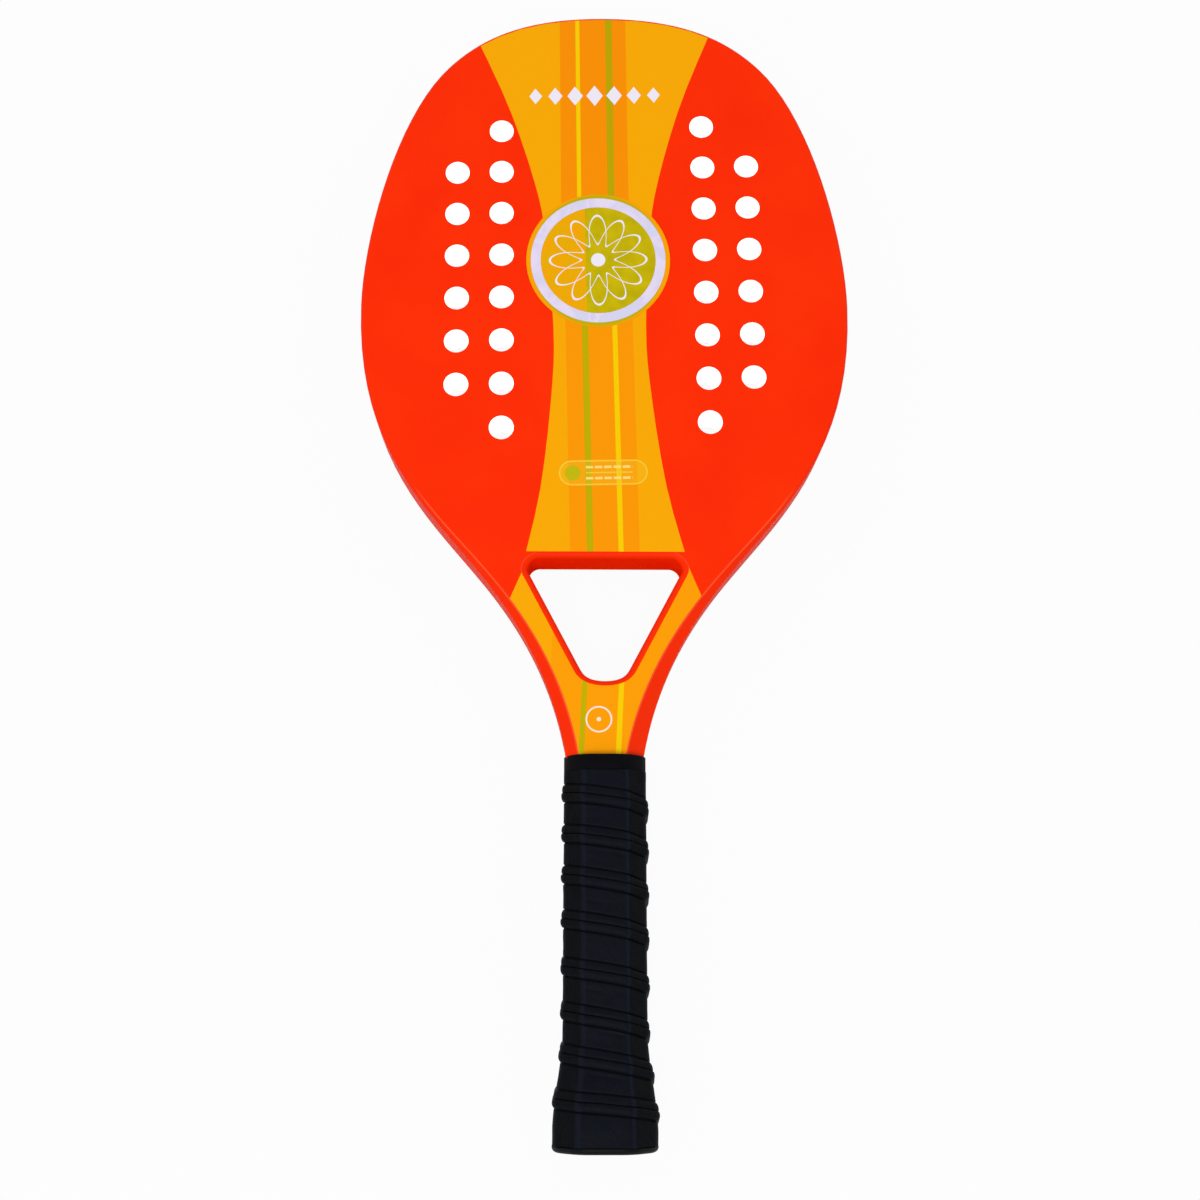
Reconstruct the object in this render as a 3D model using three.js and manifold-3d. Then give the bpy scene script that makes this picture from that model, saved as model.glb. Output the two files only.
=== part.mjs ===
// Beach tennis racket with a drilled foam head, an open throat and a wound grip.
// Millimetres. The racket lies on its back: +Y runs to the tip, +Z is the front face's normal.

import * as THREE from "three";
import { mergeVertices } from "three/addons/utils/BufferGeometryUtils.js";
import Module from "manifold-3d";

const wasm = await Module();
wasm.setup();

// Overall sizes; the head, the throat and the handle are shares of the length
const racketLength = 500;
const headWidth = 215.4;
const thickness = 22;
const headLengthShare = 0.5146;
const openingLengthShare = 0.1148;
const handleLengthShare = 0.311;

// Head outline: the widest line, the crown's corner, the shoulder and the neck
const widestDepthShare = 0.56;
const crownCornerWidthShare = 0.33;
const crownCornerDepthShare = 0.1;
const crownCornerTurn = THREE.MathUtils.degToRad(46);
const shoulderX = 52.2;
const shoulderDepthShare = 0.039;
const shoulderTurn = THREE.MathUtils.degToRad(51.1);
const neckHalf = 16.1;
const neckTurn = THREE.MathUtils.degToRad(9.9);
const taperReachShares = [0.4, 0.4];
const throatReachShares = [0.37, 0.334];
const shoulderReachShares = [0.294, 0.493];
const sideReachShares = [0.273, 0.27];
const crownReachShares = [0.261, 0.507];

// Frame tube
const hoopWidth = 11;
const tubeWall = 1.8;
const tubeEdge = 1;
const rimChamfer = 1.2;
const rimDrop = 1.2;
const neckChamfer = 6.2;
const neckDrop = 5;
const chamferFadeAbove = 37;
const chamferFadeLength = 90;
const legHalf = 13;
const legGap = 3;
const legTaperLength = 7;

// Throat opening, measured at the front face's edge
const openingWidth = 82;
const openingCornerRadius = 5.5;
const openingBottomRadius = 14.4;
const openingEdge = 2.4;
const bridgeDepth = 12;

// Face skins and drilled holes
const skinThickness = 0.7;
const skinInset = 5;
const skinLap = 3;
const holeDiameter = 11;
const innerColumnWidthShare = 0.2107;
const columnPitchWidthShare = 0.092;
const rowPitchShare = 0.0791;
const holeCentreDepthShare = 0.5006;
const innerRows = 8;
const outerRows = 6;
const drillShift = 0.5;
const rowTurn = THREE.MathUtils.degToRad(1.85);
const columnTurn = THREE.MathUtils.degToRad(0.75);

// Printed films
const filmThickness = 0.15;
const foilThickness = 0.1;
const filmMargin = 0.25;
const printTurn = THREE.MathUtils.degToRad(1.25);
const panelTopHalf = 58;
const panelWaistHalf = 20.4;
const panelBottomHalf = 36.2;
const panelTopHalfShares = [1, 0.685, 0.481, 0.402];
const panelTopDepthShares = [0, 0.172, 0.325, 0.4275];
const panelLowHalfShares = [0.598, 0.75, 1, 1.094];
const panelLowDepthShares = [0.718, 0.889, 1.036, 1.08];
const panelSideSteps = 28;
const panelWaistDepthShare = 0.6;
const roundelRadius = 32;
const roundelDepthShare = 0.4757;
const ringRadius = 30;
const ringWidth = 4.4;
const labelLength = 39;
const labelHeight = 12;
const labelHeightShare = 0.138;

// Handle: half widths of the octagon on the outside of each layer
const gripHalf = 17;
const flareHalf = 20.9;
const lipHalf = 21.1;
const flareLengthShare = 0.296;
const flareEndLengthShare = 0.045;
const octagonDepthShare = 0.85;
const octagonFlatShare = 0.53;
const octagonSideShare = 0.37;
const gripThickness = 2;
const collarHalf = 16.8;
const collarLength = 5.3;

// Wound grip strip: one raised rib along each edge
const turnPitchShare = 0.1113;
const seamGap = 0.6;
const firstSeamDepthShare = 0.0907;
const ribWidth = 3;
const ribHeight = 0.9;
const ribFadeLength = 3;
const mostRibShare = 0.25;
const stripTip = 1.6;
const frontDropShare = 0.42;

// Butt cap and its staples
const capWall = 1.5;
const capEnd = 3;
const capSkirtLength = 26;
const lipLength = 2.6;
const lipRoundLength = 2.2;
const lipRoundHalf = 3.5;
const legEndInset = 10;
const cordHoleDiameter = 6;
const stapleWidth = 10;
const stapleWire = 0.8;
const stapleLegLength = 2.4;
const stapleInsetShare = 0.135;

// Clearances and overrun
const fitGap = 0.3;
const overrun = 5;
const far = 2 * racketLength;
const least = 1e-6;
const mergeReach = 1e-4;

// Lengths worked out from the shares
const headLength = racketLength * headLengthShare;
const openingLength = racketLength * openingLengthShare;
const handleLength = racketLength * handleLengthShare;
const shoulderDepth = headLength * shoulderDepthShare;
const flareLength = handleLength * flareLengthShare;
const flareEndLength = handleLength * flareEndLengthShare;
const turnPitch = handleLength * turnPitchShare;

// Places worked out from the sizes
const tipY = racketLength / 2;
const buttY = -racketLength / 2;
const collarTopY = buttY + handleLength;
const openingTopY = tipY - headLength;
const openingBottomY = openingTopY - openingLength;
const halfThickness = thickness / 2;
const coreHalf = halfThickness - skinThickness;
const gripTopY = collarTopY - collarLength - fitGap;
const lipTopY = buttY + lipLength;
const gripBottomY = lipTopY + fitGap;
const legEndY = buttY + legEndInset;

// Steps of the curves
const arcSteps = 6;
const bottomArcSteps = 8;
const cordHoleSteps = 24;
const holeArcSteps = 7;
const roundSteps = 64;
const flareSteps = 9;
const headSteps = { taper: 3, throat: 10, shoulder: 10, side: 9, crown: 7 };
const windingSteps = [1, 3, 4, 3, 2, 3, 4, 3, 1];
const turnSteps = windingSteps.reduce((sum, count) => sum + count);
const lipSteps = 3;

const colours = {
  paint: 0xff3300, skin: 0xff3300, core: 0xe9e4da, bridge: 0xe82600, amber: 0xf9a600, lime: 0xb5b400,
  foil: 0xe3dcfb, label: 0xf6c11a, foam: 0xd8cfae, cap: 0x121317, grip: 0x15171d, collar: 0x0e0f12,
  steel: 0xb8bcc0,
};

// Solids and meshes

function toSolid(geometry) {
  const bare = geometry.clone();
  for (const name of Object.keys(bare.attributes)) {
    if (name !== "position") bare.deleteAttribute(name);
  }
  const merged = mergeVertices(bare, mergeReach);
  return new wasm.Manifold(new wasm.Mesh({
    numProp: 3,
    vertProperties: new Float32Array(merged.attributes.position.array),
    triVerts: new Uint32Array(merged.index.array),
  }));
}

function toGeometry(solid) {
  const mesh = solid.getMesh();
  const geometry = new THREE.BufferGeometry();
  geometry.setAttribute("position", new THREE.Float32BufferAttribute(mesh.vertProperties, 3));
  geometry.setIndex(new THREE.BufferAttribute(mesh.triVerts, 1));
  geometry.computeVertexNormals();
  return geometry;
}

function piece(name, solid, color, roughness = 0.5, metalness = 0) {
  const material = new THREE.MeshStandardMaterial({ color, roughness, metalness });
  const mesh = new THREE.Mesh(toGeometry(solid), material);
  mesh.name = name;
  return mesh;
}

// A closed solid through rings of points, each ring a convex loop, with flat ends
function loft(rings) {
  const count = rings[0].length;
  const positions = rings.flat().flatMap((point) => [point.x, point.y, point.z]);
  const index = [];
  for (let ring = 0; ring + 1 < rings.length; ring += 1) {
    for (let side = 0; side < count; side += 1) {
      const next = (side + 1) % count;
      const a = ring * count + side;
      const b = ring * count + next;
      index.push(a, b, a + count, b, b + count, a + count);
    }
  }
  const last = (rings.length - 1) * count;
  for (let side = 1; side + 1 < count; side += 1) {
    index.push(0, side + 1, side);
    index.push(last, last + side, last + side + 1);
  }
  const geometry = new THREE.BufferGeometry();
  geometry.setAttribute("position", new THREE.Float32BufferAttribute(positions, 3));
  geometry.setIndex(index);
  return toSolid(faceOutward(geometry));
}

function faceOutward(geometry) {
  const place = geometry.attributes.position;
  const index = geometry.index.array;
  const corner = (k) => new THREE.Vector3().fromBufferAttribute(place, index[k]);
  let volume = 0;
  for (let k = 0; k < index.length; k += 3) volume += corner(k).dot(corner(k + 1).cross(corner(k + 2)));
  if (volume < 0) {
    for (let k = 0; k < index.length; k += 3) [index[k], index[k + 1]] = [index[k + 1], index[k]];
  }
  return geometry;
}

function prism(points, low, high, holes = []) {
  const shape = new THREE.Shape(points);
  shape.holes = holes;
  const geometry = new THREE.ExtrudeGeometry(shape, {
    depth: high - low, bevelEnabled: false, curveSegments: holeArcSteps,
  });
  geometry.translate(0, 0, low);
  return toSolid(geometry);
}

function box(low, high) {
  const size = new THREE.Vector3().subVectors(high, low);
  const geometry = new THREE.BoxGeometry(size.x, size.y, size.z);
  const centre = new THREE.Vector3().addVectors(low, high).multiplyScalar(0.5);
  geometry.translate(centre.x, centre.y, centre.z);
  return toSolid(geometry);
}

function halfSpaceAbove(y) {
  return box(new THREE.Vector3(-far, y, -far), new THREE.Vector3(far, y + far, far));
}

function turnOver(solid) {
  return solid.rotate([0, 180, 0]);
}

function ease(share) {
  const part = THREE.MathUtils.clamp(share, 0, 1);
  return part * part * (3 - 2 * part);
}

function vector(x, y) {
  return new THREE.Vector2(x, y);
}

// Outline of the racket, right half, from the leg's end up to the tip

function outlineCurves() {
  const tip = vector(0, tipY);
  const corner = vector(headWidth * crownCornerWidthShare, tipY - headLength * crownCornerDepthShare);
  const widest = vector(headWidth / 2, tipY - headLength * widestDepthShare);
  const shoulder = vector(shoulderX, openingTopY - shoulderDepth);
  const neck = vector(neckHalf, collarTopY);
  const leg = vector(legHalf, collarTopY - legTaperLength);
  const along = (from, angle, length) => vector(
    from.x + Math.cos(angle) * length, from.y + Math.sin(angle) * length);
  const up = Math.PI / 2;
  const neckUp = up - neckTurn;
  const cornerUp = Math.PI - crownCornerTurn;
  const bezier = (a, angleA, b, angleB, [shareA, shareB]) => {
    const span = a.distanceTo(b);
    const leave = along(a, angleA, span * shareA);
    const arrive = along(b, angleB, -span * shareB);
    return new THREE.CubicBezierCurve(a, leave, arrive, b);
  };
  return [
    { steps: 1, curve: new THREE.LineCurve(vector(legHalf, legEndY), leg) },
    { steps: headSteps.taper, curve: bezier(leg, up, neck, neckUp, taperReachShares) },
    { steps: headSteps.throat, curve: bezier(neck, neckUp, shoulder, shoulderTurn, throatReachShares) },
    { steps: headSteps.shoulder, curve: bezier(shoulder, shoulderTurn, widest, up, shoulderReachShares) },
    { steps: headSteps.side, curve: bezier(widest, up, corner, cornerUp, sideReachShares) },
    { steps: headSteps.crown, curve: bezier(corner, cornerUp, tip, Math.PI, crownReachShares) },
  ];
}

function outlineStations() {
  const stations = [];
  for (const { steps, curve } of outlineCurves()) {
    for (let step = stations.length ? 1 : 0; step <= steps; step += 1) {
      const point = curve.getPoint(step / steps);
      const tangent = point.y < collarTopY - fitGap ? vector(0, 1) : curve.getTangent(step / steps);
      stations.push({ point, inward: vector(-tangent.y, tangent.x) });
    }
  }
  stations.at(-1).inward.set(0, -1);
  const mirrored = stations.slice(0, -1).reverse().map(({ point, inward }) => ({
    point: vector(-point.x, point.y), inward: vector(-inward.x, inward.y),
  }));
  return [...stations, ...mirrored];
}

const stations = outlineStations();

// The rim's chamfer is narrow round the head and grows wide towards the neck
function chamferAt(y) {
  const share = ease((openingTopY + chamferFadeAbove - y) / chamferFadeLength);
  return {
    inset: THREE.MathUtils.lerp(rimChamfer, neckChamfer, share),
    drop: THREE.MathUtils.lerp(rimDrop, neckDrop, share),
  };
}

// The flat face's edge moved inwards, closed straight across below the lowest station
function faceOutline(extraInset, lowestY) {
  return stations.filter(({ point }) => point.y > lowestY).map(({ point, inward }) => {
    const inset = chamferAt(point.y).inset + extraInset;
    return vector(point.x + inward.x * inset, point.y + inward.y * inset);
  });
}

// Throat opening: a triangle with round corners, its sides tangent to the bottom arc

function openingTriangle() {
  const half = openingWidth / 2;
  const rise = openingLength - openingBottomRadius;
  const lean = Math.acos(openingBottomRadius / Math.hypot(half, rise)) - Math.atan2(rise, half);
  const apexY = openingTopY - half / Math.tan(lean);
  return { half, lean, apexY };
}

const triangle = openingTriangle();

// The side's x at a height, on the line through the opening's corner and the apex
function openingSideX(y) {
  return (y - triangle.apexY) * Math.tan(triangle.lean);
}

function arcPoints(centre, radius, from, to, steps) {
  const points = [];
  for (let step = 0; step <= steps; step += 1) {
    const angle = THREE.MathUtils.lerp(from, to, step / steps);
    points.push(vector(centre.x + Math.cos(angle) * radius, centre.y + Math.sin(angle) * radius));
  }
  return points;
}

// The outline grown or shrunk by an offset from the front face's edge
function openingOutline(offset) {
  const { lean, apexY } = triangle;
  const radius = openingCornerRadius + offset;
  const bottomRadius = openingBottomRadius + offset;
  const cornerX = openingSideX(openingTopY - openingCornerRadius) - openingCornerRadius / Math.cos(lean);
  const cornerY = openingTopY - openingCornerRadius;
  const bottomY = apexY + openingBottomRadius / Math.sin(lean);
  return [
    ...arcPoints(vector(cornerX, cornerY), radius, -lean, Math.PI / 2, arcSteps),
    ...arcPoints(vector(-cornerX, cornerY), radius, Math.PI / 2, Math.PI + lean, arcSteps),
    ...arcPoints(vector(0, bottomY), bottomRadius, Math.PI + lean, 2 * Math.PI - lean, bottomArcSteps),
  ];
}

function openingCutter() {
  const wall = -openingEdge;
  const past = halfThickness + openingEdge;
  const levels = [
    [-past, openingEdge], [-halfThickness, 0], [-halfThickness + openingEdge, wall],
    [halfThickness - openingEdge, wall], [halfThickness, 0], [past, openingEdge],
  ];
  return loft(levels.map(([z, offset]) => openingOutline(offset).map(
    (point) => new THREE.Vector3(point.x, point.y, z))));
}

// Frame tube: one hairpin tube, up one leg, round the head and down the other leg

// Width of the tube from the outline inwards, along the station's normal
function tubeWidthAt({ point, inward }) {
  const x = Math.abs(point.x);
  const towardsMiddle = Math.max(Math.abs(inward.x), least);
  const closing = Math.max(towardsMiddle + inward.y * Math.tan(triangle.lean), least);
  const legWidth = (x - legGap / 2) / towardsMiddle;
  const wallX = openingSideX(point.y) - openingEdge / Math.cos(triangle.lean);
  const sideWidth = (x - wallX) / closing;
  const share = ease((point.y - openingTopY + shoulderDepth) / bridgeDepth);
  return THREE.MathUtils.lerp(Math.min(legWidth, sideWidth), hoopWidth, share);
}

function tubeRings(wall, grow, endOverrun) {
  return stations.map((station, place) => {
    const { point, inward } = station;
    const { inset, drop } = chamferAt(point.y);
    const width = tubeWidthAt(station);
    const high = halfThickness - wall + grow;
    const start = wall - grow;
    const end = width - wall + grow;
    const corner = Math.max(inset - wall / 2, wall);
    const flank = high - Math.max(drop - wall / 2, tubeEdge / 2);
    const inner = high - tubeEdge;
    const profile = [
      [start, -flank], [start, flank], [corner, high], [end - tubeEdge, high],
      [end, inner], [end, -inner], [end - tubeEdge, -high], [corner, -high],
    ];
    const isEnd = place === 0 || place === stations.length - 1;
    const shift = isEnd ? -endOverrun : 0;
    return profile.map(([depth, z]) => new THREE.Vector3(
      point.x + inward.x * depth, point.y + inward.y * depth + shift, z));
  });
}

const opening = openingCutter();
const frameEnvelope = loft(tubeRings(0, fitGap, fitGap));

// The face skins lie in a shallow rebate, flush with the rim
function skinBlank(inset, low, high, holes) {
  const blank = prism(faceOutline(inset, openingTopY - 2 * shoulderDepth), low, high, holes);
  return blank.intersect(halfSpaceAbove(openingTopY + skinLap + inset - skinInset));
}

const frontRebate = skinBlank(skinInset - fitGap, coreHalf, halfThickness + overrun);
const rebates = frontRebate.add(turnOver(frontRebate));

function frameTube() {
  const outside = loft(tubeRings(0, 0, 0));
  const inside = loft(tubeRings(tubeWall, 0, overrun));
  return outside.subtract(inside).subtract(opening).subtract(rebates);
}

function throatBridge() {
  const topY = openingTopY + bridgeDepth;
  const half = openingSideX(topY) + hoopWidth / 2;
  const lowHalf = openingSideX(openingTopY - 2 * openingCornerRadius) + hoopWidth / 2;
  const lowY = openingTopY - 2 * openingCornerRadius;
  const plan = [vector(-half, topY), vector(-lowHalf, lowY), vector(lowHalf, lowY), vector(half, topY)];
  const blank = prism(plan, -halfThickness, halfThickness);
  return largest(blank.subtract(frameEnvelope).subtract(opening).subtract(rebates));
}

function neckFiller() {
  const topY = openingBottomY + openingBottomRadius / 2;
  const lowY = collarTopY + fitGap;
  const half = openingSideX(topY) + hoopWidth / 2;
  const plan = [vector(-half, topY), vector(-legGap, lowY), vector(legGap, lowY), vector(half, topY)];
  const blank = prism(plan, -halfThickness, halfThickness);
  return largest(blank.subtract(frameEnvelope).subtract(opening));
}

function largest(solid) {
  const parts = solid.decompose();
  return parts.reduce((best, part) => (part.volume() > best.volume() ? part : best));
}

// Drilled holes: rows and columns lie slightly turned on the head, as on the real one
function holePaths() {
  const centre = vector(-drillShift, tipY - headLength * holeCentreDepthShare);
  const innerColumnX = headWidth * innerColumnWidthShare;
  const columnPitch = headWidth * columnPitchWidthShare;
  const rowPitch = headLength * rowPitchShare;
  const paths = [];
  for (const side of [-1, 1]) {
    for (const [column, rows] of [[0, innerRows], [1, outerRows]]) {
      for (let row = 0; row < rows; row += 1) {
        const x = side * (innerColumnX + column * columnPitch);
        const y = (row - (rows - 1) / 2) * rowPitch;
        const place = vector(
          centre.x + x * Math.cos(rowTurn) - y * Math.sin(columnTurn),
          centre.y + x * Math.sin(rowTurn) + y * Math.cos(columnTurn));
        const path = new THREE.Path();
        path.absarc(place.x, place.y, holeDiameter / 2, 0, 2 * Math.PI, false);
        paths.push(path);
      }
    }
  }
  return paths;
}

function drillCutter() {
  const drills = holePaths().map((path) => prism(path.getPoints(holeArcSteps), -thickness, thickness));
  return drills.reduce((all, drill) => all.add(drill));
}

function foamCore() {
  const blank = prism(faceOutline(skinInset, openingTopY), -coreHalf, coreHalf, holePaths());
  const above = halfSpaceAbove(openingTopY + bridgeDepth + fitGap);
  return largest(blank.intersect(above).subtract(frameEnvelope));
}

function faceSkin() {
  return skinBlank(skinInset, coreHalf, halfThickness, holePaths());
}

// Printed films on the front; the back carries the same ones turned over

function panelOutline() {
  const placed = (half, depthShare) => vector(half, tipY - headLength * depthShare);
  const top = panelTopHalfShares.map((share, k) => placed(panelTopHalf * share, panelTopDepthShares[k]));
  const waist = placed(panelWaistHalf, panelWaistDepthShare);
  const low = panelLowHalfShares.map(
    (share, k) => placed(panelBottomHalf * share, panelLowDepthShares[k]));
  const belowLow = vector(low.at(-1).x, buttY);
  const side = new THREE.SplineCurve([...top, waist, ...low]).getPoints(panelSideSteps);
  const right = [...side, belowLow];
  const left = right.map((point) => vector(-point.x, point.y)).reverse();
  const pivot = vector(0, openingTopY);
  return [...right, ...left].map((point) => point.rotateAround(pivot, printTurn));
}

function onPrint(x, y) {
  return vector(x, y).rotateAround(vector(0, openingTopY), printTurn);
}

function circlePoints(centre, radius, steps) {
  return arcPoints(centre, radius, 0, 2 * Math.PI, steps).slice(0, -1);
}

function labelPoints() {
  const radius = labelHeight / 2;
  const y = openingTopY + headLength * labelHeightShare;
  const reach = labelLength / 2 - radius;
  const right = onPrint(reach, y);
  const left = onPrint(-reach, y);
  const quarter = Math.PI / 2;
  return [
    ...arcPoints(right, radius, -quarter, quarter, arcSteps),
    ...arcPoints(left, radius, quarter, 3 * quarter, arcSteps),
  ];
}

const filmLow = halfThickness;
const filmHigh = filmLow + filmThickness;
const roundelHigh = filmHigh + foilThickness;
const roundelCentre = onPrint(0, tipY - headLength * roundelDepthShare);

function filmCutter(points) {
  return prism(points, filmLow - overrun, filmHigh + overrun);
}

function panelFilm() {
  const panel = prism(panelOutline(), filmLow, filmHigh);
  const inOutline = panel.intersect(filmCutter(faceOutline(filmMargin, collarTopY - fitGap)));
  return inOutline.subtract(filmCutter(openingOutline(filmMargin)));
}

function headPanel() {
  return panelFilm().intersect(halfSpaceAbove(openingTopY + filmMargin));
}

function throatPanel() {
  const below = halfSpaceAbove(openingTopY - openingCornerRadius);
  return panelFilm().subtract(below).intersect(halfSpaceAbove(collarTopY + fitGap));
}

// The roundel lies on the panel, and the foil ring on the roundel
function roundelFilm() {
  return prism(circlePoints(roundelCentre, roundelRadius, roundSteps), filmHigh, roundelHigh);
}

function foilRing() {
  const outer = circlePoints(roundelCentre, ringRadius, roundSteps);
  const inner = circlePoints(roundelCentre, ringRadius - ringWidth, roundSteps);
  return prism(outer, roundelHigh, roundelHigh + foilThickness).subtract(filmCutter(inner));
}

function labelFilm() {
  return prism(labelPoints(), filmHigh, roundelHigh);
}

// Handle: every layer is the same octagon, scaled by its half width

// The octagon's eight corners for a half width of one, from the left side over the front
const octagonCorners = [
  vector(-1, octagonSideShare), vector(-octagonFlatShare, octagonDepthShare),
  vector(octagonFlatShare, octagonDepthShare), vector(1, octagonSideShare),
  vector(1, -octagonSideShare), vector(octagonFlatShare, -octagonDepthShare),
  vector(-octagonFlatShare, -octagonDepthShare), vector(-1, -octagonSideShare),
];

// One turn round the octagon from the middle of its left side, with a point on each corner
function windingLoop() {
  const leftMiddle = vector(-1, 0);
  const stops = [leftMiddle, ...octagonCorners, leftMiddle];
  return windingSteps.flatMap((count, side) => {
    const points = [];
    for (let step = 0; step < count; step += 1) {
      points.push(stops[side].clone().lerp(stops[side + 1], step / count));
    }
    return points;
  });
}

const winding = windingLoop();

// Half width on the outside of the grip, straight and then flared to the butt
function handleHalfAt(y) {
  const start = buttY + flareLength;
  const share = (start - y) / (flareLength - flareEndLength);
  return THREE.MathUtils.lerp(gripHalf, flareHalf, ease(share));
}

function octagonRing(half, y) {
  return octagonCorners.map((point) => new THREE.Vector3(point.x * half, y, point.y * half));
}

// A handle layer from one height to another, sunk below the grip's outside
function handleLayer(topY, bottomY, sink) {
  const heights = [topY];
  for (let step = 0; step <= flareSteps; step += 1) {
    const y = buttY + THREE.MathUtils.lerp(flareLength, flareEndLength, step / flareSteps);
    if (y < topY && y > bottomY) heights.push(y);
  }
  heights.push(bottomY);
  return loft(heights.map((y) => octagonRing(handleHalfAt(y) - sink, y)));
}

const gripInsideSink = gripThickness;
const palletSink = gripInsideSink + fitGap;
const skirtTopY = buttY + capSkirtLength;
const innerPalletSink = palletSink + capWall + fitGap;

// A staple's crown lies across the cap and its legs go down into the foam
function stapleSolid(grow) {
  const y = buttY + handleLength * stapleInsetShare;
  const top = (handleHalfAt(y) - palletSink) * octagonDepthShare - fitGap;
  const bar = (x0, x1, z0, z1) => box(
    new THREE.Vector3(x0 - grow, y - stapleWire / 2 - grow, z0 - grow),
    new THREE.Vector3(x1 + grow, y + stapleWire / 2 + grow, z1 + (grow ? overrun : 0)));
  const half = stapleWidth / 2;
  const crown = bar(-half, half, top - stapleWire, top);
  const left = bar(-half, -half + stapleWire, top - stapleLegLength, top - stapleWire / 2);
  const right = bar(half - stapleWire, half, top - stapleLegLength, top - stapleWire / 2);
  return crown.add(left).add(right);
}

function palletHalf() {
  const upper = handleLayer(gripTopY - fitGap, skirtTopY + fitGap, palletSink);
  const lower = handleLayer(skirtTopY + 2 * fitGap, buttY + capEnd + fitGap, innerPalletSink);
  const whole = upper.add(lower).subtract(frameEnvelope).subtract(stapleSolid(fitGap));
  const front = box(new THREE.Vector3(-far, -far, fitGap / 2), new THREE.Vector3(far, far, far));
  return largest(whole.intersect(front));
}

function buttCap() {
  const skirt = handleLayer(skirtTopY, lipTopY, palletSink);
  const rings = [octagonRing(lipHalf, lipTopY)];
  for (let step = 0; step <= lipSteps; step += 1) {
    const angle = (step / lipSteps) * Math.PI / 2;
    const half = lipHalf - lipRoundHalf * (1 - Math.cos(angle));
    rings.push(octagonRing(half, buttY + lipRoundLength * (1 - Math.sin(angle))));
  }
  const lip = loft(rings);
  const inside = handleLayer(skirtTopY + overrun, buttY + capEnd, innerPalletSink - fitGap);
  const cordHole = new THREE.CylinderGeometry(
    cordHoleDiameter / 2, cordHoleDiameter / 2, 2 * capEnd + overrun, cordHoleSteps);
  cordHole.translate(0, buttY, 0);
  const staples = stapleSolid(fitGap).add(turnOver(stapleSolid(fitGap)));
  return skirt.add(lip).subtract(inside).subtract(toSolid(cordHole)).subtract(staples);
}

function neckCollar() {
  const bottomY = collarTopY - collarLength;
  const blank = loft([octagonRing(collarHalf, collarTopY), octagonRing(collarHalf, bottomY)]);
  return blank.subtract(frameEnvelope);
}

// Wound grip: one strip, its edges ribbed, wound down the handle in an open helix

// How far the strip has dropped after some turns, less on the front than on the back
function dropAfter(turns) {
  const whole = Math.floor(turns);
  const part = turns - whole;
  const share = part < 0.5 ? 2 * part * frontDropShare
    : frontDropShare + (2 * part - 1) * (1 - frontDropShare);
  return (whole + share) * turnPitch;
}

function stripEdges(turns) {
  const firstSeamY = collarTopY - handleLength * firstSeamDepthShare;
  const upper = firstSeamY - seamGap / 2 - dropAfter(turns);
  const lower = upper - turnPitch + seamGap;
  return { upper, lower };
}

function stripSection(turns) {
  const { upper, lower } = stripEdges(turns);
  const top = Math.min(upper, gripTopY);
  const bottom = Math.max(lower, gripBottomY);
  const width = top - bottom;
  const rib = Math.min(ribWidth, width * mostRibShare);
  const topRib = ribHeight * THREE.MathUtils.clamp(1 - (upper - gripTopY) / ribFadeLength, 0, 1);
  const bottomRib = ribHeight * THREE.MathUtils.clamp(1 - (gripBottomY - lower) / ribFadeLength, 0, 1);
  const middle = (top + bottom) / 2;
  const height = gripThickness;
  return [
    [top, 0], [top, height + topRib / 2], [top - rib / 2, height + topRib], [top - rib, height],
    [middle, height], [bottom + rib, height], [bottom + rib / 2, height + bottomRib],
    [bottom, height + bottomRib / 2], [bottom, 0], [middle, 0],
  ];
}

// The section's points that face the next turn, at its top and at its bottom
const topEdgePoints = [0, 2];
const bottomEdgePoints = [7, 9];

function stripRings() {
  const rings = [];
  let step = 0;
  while (stripEdges(step / turnSteps).lower < gripTopY - stripTip) step -= 1;
  for (step += 1; stripEdges(step / turnSteps).upper > gripBottomY + stripTip; step += 1) {
    const direction = winding[((step % turnSteps) + turnSteps) % turnSteps];
    rings.push(stripSection(step / turnSteps).map(([y, height]) => {
      const half = handleHalfAt(y) - gripThickness + height;
      return new THREE.Vector3(direction.x * half, y, direction.y * half);
    }));
  }
  return rings;
}

// Least distance between the facing edges of neighbouring turns
function leastStripGap(rings) {
  let leastGap = Infinity;
  for (let ring = 0; ring + turnSteps < rings.length; ring += 1) {
    const lowerEdge = rings[ring].slice(...bottomEdgePoints);
    for (let near = -1; near <= 1; near += 1) {
      const other = rings[Math.min(ring + turnSteps + near, rings.length - 1)].slice(...topEdgePoints);
      for (const a of lowerEdge) for (const b of other) leastGap = Math.min(leastGap, a.distanceTo(b));
    }
  }
  return leastGap;
}

function gripStrip() {
  const rings = stripRings();
  console.log(`wound grip: least gap between turns ${leastStripGap(rings).toFixed(2)} mm`);
  return loft(rings);
}

// The racket

const racket = new THREE.Group();

racket.add(piece("frame_tube", frameTube(), colours.paint, 0.3));
racket.add(piece("throat_bridge", throatBridge(), colours.bridge, 0.35));
racket.add(piece("neck_filler", neckFiller(), colours.bridge, 0.4));
racket.add(piece("foam_core", foamCore(), colours.core, 0.9));

// The holes go straight through, so the back skin mirrors the front one in depth
const skin = faceSkin();
racket.add(piece("front_skin", skin, colours.skin, 0.3));
racket.add(piece("back_skin", skin.mirror([0, 0, 1]), colours.skin, 0.3));

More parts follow.
